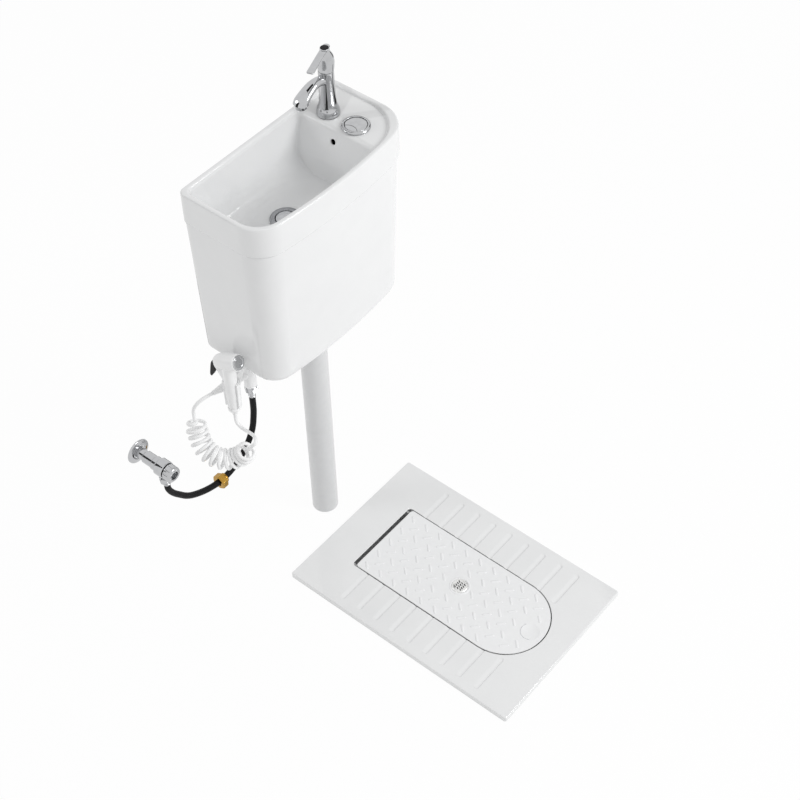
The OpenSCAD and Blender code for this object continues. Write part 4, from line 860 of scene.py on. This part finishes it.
bm = bmesh.new()
s = cover["stroke"]
for i in range(-3, 4):
    for j in range(12):
        x, y = s["shift"] + i * s["stepX"], cover["back"] - 37 - j * s["stepY"]
        for strokeX, strokeY, angle in ((x + s["stepX"] / 2, y, -45), (x, y + s["stepY"] / 2, 45)):
            if strokeFits(strokeX, strokeY):
                place = Matrix.Translation((strokeX, strokeY, cover["high"] - 0.01)) @ turnMatrix(angle, "Z")
                softBump(bm, s["length"], s["width"], s["height"], 5, place, 4)
addTo(bm, moved(turnedShape(softProfile(cover["seat"], 3), 64), 0, strainerY))
bmesh.ops.holes_fill(bm, edges=bm.edges[:], sides=64)
outwards(bm)
strokes = meshPiece("coverStrokes", bm, satinWhite)
for piece in (coverPlate, strokes):
    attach(piece, "cover")
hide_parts("cover_plate")
evenShading(strokes, weight=80)

strainer = {"rim": ((13.6, 14.1), (15, 14.35), (16.6, 14), (17.8, 12.9), (18, 12.05), (14.4, 12.05), (14.4, 4.4),
                    (12.4, 4.4), (12.4, 11.4), (0, 11.4)),
            "disc": ((0, 13.4), (8, 13.35), (12.5, 13.5)), "slot": (6.4, 2.3, 12), "steps": (5.2, 7.2)}
profile = softProfile(strainer["disc"], 2) + list(strainer["rim"])
strainerDisc = meshPiece("strainerDisc", moved(turnedShape(profile, 64), 0, strainerY), steel)
stepX, stepY = strainer["steps"]
slots = bmesh.new()
for i in range(-1, 2):
    for j in range(4):
        place = Matrix.Translation(((j - 1.5) * stepX, strainerY + i * stepY, 12)) @ turnMatrix(60, "Z")
        addBox(slots, strainer["slot"], place)
bmesh.ops.bevel(slots, geom=[e for e in slots.edges if abs(e.verts[0].co.z - e.verts[1].co.z) > 1], offset=0.85,
                offset_type="OFFSET", affect="EDGES", segments=4, profile=0.5, material=-1)
cutWith(strainerDisc, meshPiece("slots", slots, steel))
roundedByAngle(strainerDisc, 0.25, 2, 40)
standsFor(strainerDisc, "chrome", "cover", "strainer")
print("cover made:", len(coverPlate.data.polygons), len(strokes.data.polygons))

# flush pipe
pipe = {"side": ((26, -30), (28.5, -30), (28.5, 100), (28.5, 263.2), (28.1, 263.5), (28.1, 264.5), (28.5, 264.8),
                 (28.5, 400), (28.5, 558), (26, 558))}
flushPipe = meshPiece("flushPipe", turnedShape(pipe["side"], 96, closed=True), pipeGrey)
evenShading(flushPipe)
standsFor(flushPipe, "pipe_grey", "fixture", "flush_pipe")
print("pipe made")

# stop valve on the wall
valve = {"place": (-406, 93, 483), "outletY": 22,
         "plate": ((10.3, 0), (26.4, 0), (26.5, 0.3), (26.4, 1.7), (25.6, 2.8), (23.6, 3.8), (20.4, 4.7), (16.2, 5.5),
                   (14.5, 5.6), (10.3, 5.6)),
         "body": ((0, -5), (10.2, -5), (10.2, 0), (10, 0), (10, 9), (11, 9.3), (11, 21.6), (13, 23.6), (13, 46),
                  (14.4, 47.6), (14.4, 57), (16.6, 58.8), (18, 60.2), (18, 77.4), (17, 79.4), (8, 79.4), (8, 81),
                  (0, 81)),
         "knobFoot": 81.3, "scallops": 12, "socket": 17,
         "knob": ((0, 0), (15.1, 0), (16.2, 0.5), (16.5, 1.5), (16.5, 13.4), (16.1, 15.2), (15.1, 16.8), (13.5, 17.7),
                  (11.9, 18), (0, 18))}
outOfWall = turnMatrix(90, "X")
plate = moved(turnedShape(valve["plate"], 80, closed=True), *valve["place"], outOfWall)
wallPlate = meshPiece("wallPlate", plate, chrome)
roundedByAngle(wallPlate, 0.3, 2, 50)
standsFor(wallPlate, "chrome", "fixture", "wall_plate")
stopBody = meshPiece("stopBody", moved(turnedShape(valve["body"], 64), *valve["place"], outOfWall), chrome)
stopX, stopY, stopZ = valve["place"][0], valve["outletY"], valve["place"][2]
cutWith(stopBody, uprightCutter(stopX, stopY, stopZ - 27, stopZ - 6, 10.2), "UNION")
cutWith(stopBody, uprightCutter(stopX, stopY, stopZ - 28, stopZ - 15, 5.5))
roundedByAngle(stopBody, 0.5, 3, 35)
standsFor(stopBody, "chrome", "fixture", "stop_body")
cuts = bmesh.new()
addRod(cuts, valve["socket"] / math.sqrt(3), 14, Matrix.Translation((0, 0, 15)), 6)
for k in range(valve["scallops"]):
    addRod(cuts, 3, 12, turnMatrix(360 / valve["scallops"] * k, "Z") @ Matrix.Translation((18.7, 0, 8)), 24)
knobPlace = (stopX, valve["place"][1] - valve["knobFoot"], stopZ)
stopKnob = meshPiece("stopKnob", moved(turnedShape(valve["knob"], 96), *knobPlace, outOfWall), chrome)
cutWith(stopKnob, meshPiece("cuts", moved(cuts, *knobPlace, outOfWall), chrome))
pin = rodCutter((stopX, knobPlace[1] - 1, stopZ), (stopX, knobPlace[1] + 8, stopZ), 3, segments=24)
cutWith(stopKnob, pin, "UNION")
roundedByAngle(stopKnob, 0.5, 3, 40)
standsFor(stopKnob, "chrome", "valve_knob", "stop_knob")
print("valve made")

# tee, nuts, ferrules and the sprayer's holder
fill = {"place": (-160, 22), "tee": 562, "branch": 545, "turn": 168, "reach": 36}
fillX, fillY = fill["place"]


def hexNut(flats, low, high, finish, chamfer=0.12):
    corner = flats / math.sqrt(3)
    bm = bmesh.new()
    addRod(bm, corner, high - low, Matrix.Translation((0, 0, (low + high) / 2)) @ turnMatrix(30, "Z"), 6)
    nut = meshPiece("nut", bm, finish)
    drop, inner, outer = corner * chamfer, flats / 2 - 0.3, corner + 0.1
    profile = [(0, low), (inner, low), (outer, low + drop), (outer, high - drop), (inner, high), (0, high)]
    cutWith(nut, meshPiece("chamfer", turnedShape(profile, 72), finish), "INTERSECT")
    return nut


def placed(piece, matrix):
    place = matrix.copy()
    place.translation = place.translation * 0.001
    piece.data.transform(place)
    return piece


def ferruleShape(radius, low, high):
    profile = [(0, low), (radius - 0.5, low), (radius, low + 0.5), (radius, low + 3), (radius - 0.8, low + 3.8),
               (radius - 0.8, low + 5), (radius, low + 5.8), (radius, high - 5), (radius - 0.8, high - 4.2),
               (radius - 0.8, high - 3), (radius, high - 2.2), (radius, high), (0, high)]
    return turnedShape(profile, 48)


supplyFittings = placed(hexNut(24, 496, 512, chrome), Matrix.Translation((fillX, fillY, 0)))
cutWith(supplyFittings, uprightCutter(fillX, fillY, 500, 514, 9))
cutWith(supplyFittings, placed(hexNut(24, 448, 462, chrome), Matrix.Translation((stopX, stopY, 0))), "UNION")
cutWith(supplyFittings, uprightCutter(stopX, stopY, 456, 464, 10.2))
for x, y, low, high in ((fillX, fillY, 478, 496.5), (stopX, stopY, 438, 448.5)):
    cutWith(supplyFittings, meshPiece("ferrule", moved(ferruleShape(7.5, low, high), x, y), chrome), "UNION")
roundedByAngle(supplyFittings, 0.35, 2, 30)
standsFor(supplyFittings, "chrome", "fixture", "supply_fittings")

looseNut = {"place": (-269, 22, 318.3), "flats": 28, "bore": 7.5}
brassNut = hexNut(looseNut["flats"], -10, 4.5, brass, 0.06)
collar = turnedShape([(0, 3), (11, 3), (11, 5), (10.4, 5.6), (11, 6.2), (11, 8.4), (10.2, 10), (0, 10)], 60)
cutWith(brassNut, meshPiece("collar", collar, brass), "UNION")
cutWith(brassNut, uprightCutter(0, 0, -11, 12, looseNut["bore"]))
placed(brassNut, Matrix.Translation(looseNut["place"]) @ turnMatrix(90, "Y"))
roundedByAngle(brassNut, 0.25, 2, 30)
standsFor(brassNut, "brass", "fixture", "spare_nut")

profile = ((5, 0), (13, 0), (13, -8), (11.5, -10), (11.5, -26), (13, -36), (13, -50), (9, -50), (9, -62), (5, -62))
teeBody = meshPiece("teeBody", moved(turnedShape(profile, 64, closed=True), fillX, fillY, fill["tee"]), whitePlastic)
branchTurn = turnMatrix(fill["turn"], "Z") @ turnMatrix(90, "Y")
branch = turnedShape([(0, 8), (8.5, 8), (8.5, 33), (9.2, 34), (9.2, fill["reach"]), (0, fill["reach"])], 48)
cutWith(teeBody, meshPiece("branch", moved(branch, fillX, fillY, fill["branch"], branchTurn), whitePlastic), "UNION")
hole = turnedShape([(0, 2), (3.8, 2), (3.8, 38), (0, 38)], 32)
cutWith(teeBody, meshPiece("hole", moved(hole, fillX, fillY, fill["branch"], branchTurn), whitePlastic))
roundedByAngle(teeBody, 0.6, 3, 30)
standsFor(teeBody, "white_plastic", "fixture", "tee")


def ribbedRing(name, inner, outer, low, high, count, ribWidth, place, finish):
    ring = turnedShape([(inner, low), (outer - 1, low), (outer - 0.4, low + 0.8), (outer - 0.4, high - 0.8),
                        (outer - 1, high), (inner, high)], 72, closed=True)
    piece = meshPiece(name, moved(ring, *place), finish)
    grips = bmesh.new()
    for k in range(count):
        turned = Matrix.Translation((*place, 0)) @ turnMatrix(360 / count * k, "Z")
        addBox(grips, (2.4, ribWidth, high - low - 4), turned @ Matrix.Translation((outer - 1.2, 0, (low + high) / 2)))
    cutWith(piece, meshPiece("grips", grips, finish), "UNION")
    roundedByAngle(piece, 0.4, 2, 35)
    return piece


teeNut = ribbedRing("teeNut", 10.2, 15, 562, 580, 16, 2.6, fill["place"], whitePlastic)
standsFor(teeNut, "white_plastic", "fixture", "tee_nut")
pipeNut = ribbedRing("pipeNut", 29.2, 34, 544, 568, 24, 3.6, (0, 0), whitePlastic)
standsFor(pipeNut, "satin_white", "fixture", "pipe_nut")
cone = [(0, 36), (10.4, 36), (11, 36.6), (11, 49), (10.7, 51), (9.9, 54), (8.4, 64), (6.7, 73), (5.4, 80),
        (5, 85.6), (0, 86)]
hoseCone = meshPiece("hoseCone", moved(turnedShape(cone, 48), fillX, fillY, fill["branch"], branchTurn), whitePlastic)
roundedByAngle(hoseCone, 0.4, 2, 40)
standsFor(hoseCone, "white_plastic", "fixture", "hose_cone")
print("fittings made")

# sprayer in its holder
sprayer = {"place": (-227, 3, 644), "turn": 7, "tilt": 22, "grip": (520, 118, 11.5, 14),
           "head": ((0, -34.1), (5.4, -33.8), (9.2, -32), (12.2, -28), (14.2, -22.4), (15.7, -15), (16.6, -4), (17, 8),
                    (17, 24.8), (16.6, 26.4), (15.8, 27.2), (0, 27.2)),
           "web": ((26, -14), (6, -46), 10, 11), "slot": (4.6, 17.5, -44, -4), "bore": (-28, 5.4, 2.4), "voxel": 0.9,
           "trigger": ((26, -12), (29.5, -11.6), (35, -12.6), (38.6, -17), (41.4, -26), (43.4, -38), (45.6, -52),
                       (45.4, -57), (43.6, -58.6), (41, -57), (36.5, -48), (32.6, -40), (33, -31), (34, -24),
                       (31.6, -19.6), (26, -18)),
           "pin": (27, -15)}
sprayX, sprayY = sprayer["place"][:2]
atSprayer = Matrix.Translation(sprayer["place"]) @ turnMatrix(sprayer["turn"], "Z")
alongHead = atSprayer @ turnMatrix(90 - sprayer["tilt"], "X")


low, long, endRadius, topRadius = sprayer["grip"]
body = placedBy(turnedShape(sprayer["head"], 64), alongHead)
addTo(body, rodShape((sprayX, sprayY, low), (sprayX, sprayY, low + long), endRadius, 64, topRadius))
(webY, webZ), (footY, footZ), webTop, webFoot = sprayer["web"]
addTo(body, placedBy(rodShape((0, webY, webZ), (0, footY, footZ), webTop, 48, webFoot), atSprayer))
sprayerBody = meshPiece("sprayerBody", body, whitePlastic)
addModifier(sprayerBody, "REMESH", mode="VOXEL", voxel_size=mm(sprayer["voxel"]), use_smooth_shade=True)
addModifier(sprayerBody, "SMOOTH", factor=0.6, iterations=9)
applyModifiers(sprayerBody)
face = placedBy(turnedShape([(0, 24.8), (15.1, 24.8), (15.1, 40), (0, 40)], 64), alongHead)
cutWith(sprayerBody, meshPiece("face", face, whitePlastic))
halfWidth, back, slotLow, slotHigh = sprayer["slot"]
slot = bmesh.new()
addBox(slot, (2 * halfWidth, 32, slotHigh - slotLow),
       atSprayer @ Matrix.Translation((0, back + 16, (slotLow + slotHigh) / 2)))
cutWith(sprayerBody, meshPiece("slot", slot, whitePlastic))
boreZ, boreRadius, plungerRadius = sprayer["bore"]
bore = placedBy(rodShape((0, 6, boreZ), (0, 41, boreZ), boreRadius, 32), atSprayer)
cutWith(sprayerBody, meshPiece("bore", bore, whitePlastic))
evenShading(sprayerBody)
smoothFaces(sprayerBody)
standsFor(sprayerBody, "white_plastic", "fixture", "sprayer_body", "trigger_pin")

rose = [(0, 28.3), (9.6, 28.4), (10.4, 28.9), (11.2, 28.6), (12, 28.7), (13.4, 29.1), (14.4, 28.7), (15, 27.6),
        (15, 24.9), (0, 24.9)]
sprayFace = meshPiece("sprayFace", placedBy(turnedShape(rose, 72), alongHead), chrome)
holes = bmesh.new()
for radius, count in ((3, 6), (6, 12), (8.6, 16)):
    for k in range(count):
        place = alongHead @ turnMatrix(360 / count * k, "Z") @ Matrix.Translation((radius, 0, 29))
        addRod(holes, 0.55, 4, place, 10)
cutWith(sprayFace, meshPiece("holes", holes, chrome))
roundedByAngle(sprayFace, 0.15, 2, 50)
standsFor(sprayFace, "chrome", "fixture", "spray_face")

outline = smoothRoute([Vector((0, y, z)) for y, z in sprayer["trigger"]], 3)
trigger = bmesh.new()
addSheet(trigger, [(-4, p.y, p.z) for p in outline])
thickened(trigger, (8, 0, 0))
pinY, pinZ = sprayer["pin"]
sprayTrigger = meshPiece("sprayTrigger", placedBy(trigger, atSprayer), darkPlastic)
for start, end, radius in (((-4, pinY, pinZ), (4, pinY, pinZ), 3), ((0, 17, boreZ), (0, 35, boreZ), plungerRadius)):
    boss = placedBy(rodShape(start, end, radius, 32), atSprayer)
    cutWith(sprayTrigger, meshPiece("boss", boss, darkPlastic), "UNION")
hinge = placedBy(rodShape((-6, pinY, pinZ), (6, pinY, pinZ), 1.56, 24), atSprayer)
cutWith(sprayTrigger, meshPiece("hinge", hinge, darkPlastic))
roundedByAngle(sprayTrigger, 0.9, 3, 40)
standsFor(sprayTrigger, "dark_plastic", "trigger", "sprayer_trigger")

tail = [(0, -0.2), (11.6, -0.2), (12.1, -0.8), (12.2, -2), (12.4, -2.4), (12.4, -7), (12, -7.8), (10.5, -10),
        (8.2, -13), (6.4, -15.4), (5.4, -18.6), (5, -21.6), (5, -24), (0, -24)]
sprayTail = meshPiece("sprayTail", moved(turnedShape(tail, 64), sprayX, sprayY, low), whitePlastic)
roundedByAngle(sprayTail, 0.3, 2, 50)
standsFor(sprayTail, "white_plastic", "fixture", "sprayer_tail")

holder = {"low": 522, "high": 588, "gap": 0.4, "wall": 4, "open": 220, "web": 5, "ring": (18, 10.6)}


def gripRadius(z):
    return endRadius + (topRadius - endRadius) * (z - low) / long


away = math.degrees(math.atan2(fillY - sprayY, fillX - sprayX))
apart = math.hypot(fillX - sprayX, fillY - sprayY)
clip = bmesh.new()
gap, wall = holder["gap"], holder["wall"]
top, bottom = holder["high"], holder["low"]
corners = ((bottom, gap), (bottom, gap + wall), (top, gap + wall), (top, gap))
start = turnMatrix(away - holder["open"] / 2, "Z")
sheet = addSheet(clip, [start @ Vector((gripRadius(z) + out, 0, z)) for z, out in corners])
bmesh.ops.spin(clip, geom=[sheet], cent=(0, 0, 0), axis=(0, 0, 1), angle=math.radians(holder["open"]), steps=48)
outwards(clip)
sprayHolder = meshPiece("sprayHolder", moved(clip, sprayX, sprayY), whitePlastic)
web = bmesh.new()
inner = gripRadius(top) + 2
corners = ((inner, bottom + 14), (apart - 15, top - 8), (apart - 15, top), (inner, top))
addSheet(web, [(x, -holder["web"] / 2, z) for x, z in corners])
thickened(web, (0, holder["web"], 0))
cutWith(sprayHolder, meshPiece("web", moved(web, sprayX, sprayY, 0, turnMatrix(away, "Z")), whitePlastic), "UNION")
outer, inner = holder["ring"]
ring = turnedShape([(inner, 580), (outer, 580), (outer, top), (inner, top)], 48, closed=True)
cutWith(sprayHolder, meshPiece("ring", moved(ring, fillX, fillY), whitePlastic), "UNION")
roundedByAngle(sprayHolder, 0.8, 3, 40)
standsFor(sprayHolder, "satin_white", "fixture", "sprayer_holder")
print("sprayer made:", len(sprayerBody.data.polygons))

# floor, light
floor = {"half": 14, "level": 0.35, "hole": ((-150, -600), (150, -120)), "tint": 0.92, "glow": 0.95}
bm = bmesh.new()
(lowX, lowY), (highX, highY) = [(mm(x), mm(y)) for x, y in floor["hole"]]
bmesh.ops.create_grid(bm, x_segments=1, y_segments=1, size=floor["half"],
                      matrix=Matrix.Translation((0, 0, mm(floor["level"]))))
cuts = [((x, 0, 0), (1, 0, 0)) for x in (lowX, highX)] + [((0, y, 0), (0, 1, 0)) for y in (lowY, highY)]
for point, normal in cuts:
    bmesh.ops.bisect_plane(bm, geom=bm.verts[:] + bm.edges[:] + bm.faces[:], plane_co=point, plane_no=normal)
centres = [(f, f.calc_center_median()) for f in bm.faces]
hole = [f for f, c in centres if lowX < c.x < highX and lowY < c.y < highY]      # the bowl hangs below the floor
bmesh.ops.delete(bm, geom=hole, context="FACES")


def seenRays(tree):
    path = addNode(tree, "LightPath")
    total = path.outputs["Is Camera Ray"]
    for name in ("Is Glossy Ray", "Is Transmission Ray"):
        more = addNode(tree, "Math")
        more.operation = "MAXIMUM"
        tree.links.new(total, more.inputs[0])
        tree.links.new(path.outputs[name], more.inputs[1])
        total = more.outputs[0]
    return total


# what lights the object and what is seen are kept apart: the white is for rays that look, never for the light
def seenAndLit(tree, kind, weight, lit, seen):
    blend = addNode(tree, "MixShader")
    tree.links.new(weight, blend.inputs["Fac"])
    tree.links.new(lit.outputs[0], blend.inputs[1])
    tree.links.new(seen.outputs[0], blend.inputs[2])
    tree.links.new(blend.outputs[0], addNode(tree, kind).inputs["Surface"])


def emptyTree(owner):
    owner.use_nodes = True
    owner.node_tree.nodes.clear()
    return owner.node_tree


paper = bpy.data.materials.new("floor paper")
tree = emptyTree(paper)
share = addNode(tree, "Math")
share.operation = "MULTIPLY"
share.inputs[1].default_value = floor["glow"]
tree.links.new(seenRays(tree), share.inputs[0])
tint = (floor["tint"], floor["tint"], floor["tint"], 1)
seenAndLit(tree, "OutputMaterial", share.outputs[0], addNode(tree, "BsdfDiffuse", Color=tint),
           addNode(tree, "Emission", Color=(1, 1, 1, 1), Strength=1.0))
sheetObject("floor", bm, paper)

world = bpy.data.worlds.new("room")
scene.world = world
tree = emptyTree(world)
seenAndLit(tree, "OutputWorld", seenRays(tree), addNode(tree, "Background", Color=(1, 1, 1, 1), Strength=0.6),
           addNode(tree, "Background", Color=(1, 1, 1, 1), Strength=1.0))


def softLamp(name, place, aim, size, power):
    data = bpy.data.lights.new(name, "AREA")
    data.shape = "DISK"
    data.size = size
    data.energy = power
    lamp = linked(name, data)
    lamp.location = place
    lamp.rotation_euler = (Vector(aim) - Vector(place)).to_track_quat("-Z", "Y").to_euler()


softLamp("frontLamp", (1.2, -3.3, 2.9), (0, -0.1, 0.6), 1.8, 70)
softLamp("leftLamp", (-2.4, 2.6, 2.6), (0, -0.3, 0.2), 1.6, 20)

# black cards that stand out of view give the chrome its dark lines
cards = {"right": ((1.5, -0.2, 1.2), (0, 0, 1), 0.5, 1.6, 0), "left": ((-1.3, 0.9, 1.3), (0, 0, 1), 0.35, 1.4, 0),
         "over": ((0.1, 0.4, 2.3), (0, 0, 1), 0.5, 0.5, 0), "floorBack": ((0.5, 0.7, 0.02), (0.5, 0.7, 1), 1.3, 0.3, 0)}
for around, wide in ((75, 0.03), (20, 0.03), (212, 0.016), (322, 0.022)):      # thin ones lie about the tap
    turned = math.radians(around)
    spot = (0.123 + 0.085 * math.cos(turned), 0.034 + 0.085 * math.sin(turned), 1.02)
    cards["tap" + str(around)] = (spot, (spot[0], spot[1], 2), 0.12, wide, around)
cardBlack = bpy.data.materials.new("card black")
cardBlack.use_nodes = True
shader = cardBlack.node_tree.nodes["Principled BSDF"]
shader.inputs["Base Color"].default_value = (0.01, 0.01, 0.01, 1)
shader.inputs["Roughness"].default_value = 1.0
for name, (place, aim, wide, tall, spin) in cards.items():
    bm = bmesh.new()
    turn = (Vector(aim) - Vector(place)).to_track_quat("Z", "Y").to_matrix().to_4x4() @ turnMatrix(spin, "Z")
    bmesh.ops.create_grid(bm, x_segments=1, y_segments=1, size=0.5,
                          matrix=Matrix.Translation(place) @ turn @ Matrix.Diagonal((wide, tall, 1, 1)))
    card = sheetObject(name + "Card", bm, cardBlack)
    card.visible_camera = card.visible_diffuse = card.visible_shadow = False

scene.view_settings.view_transform = "Standard"
print("room made")
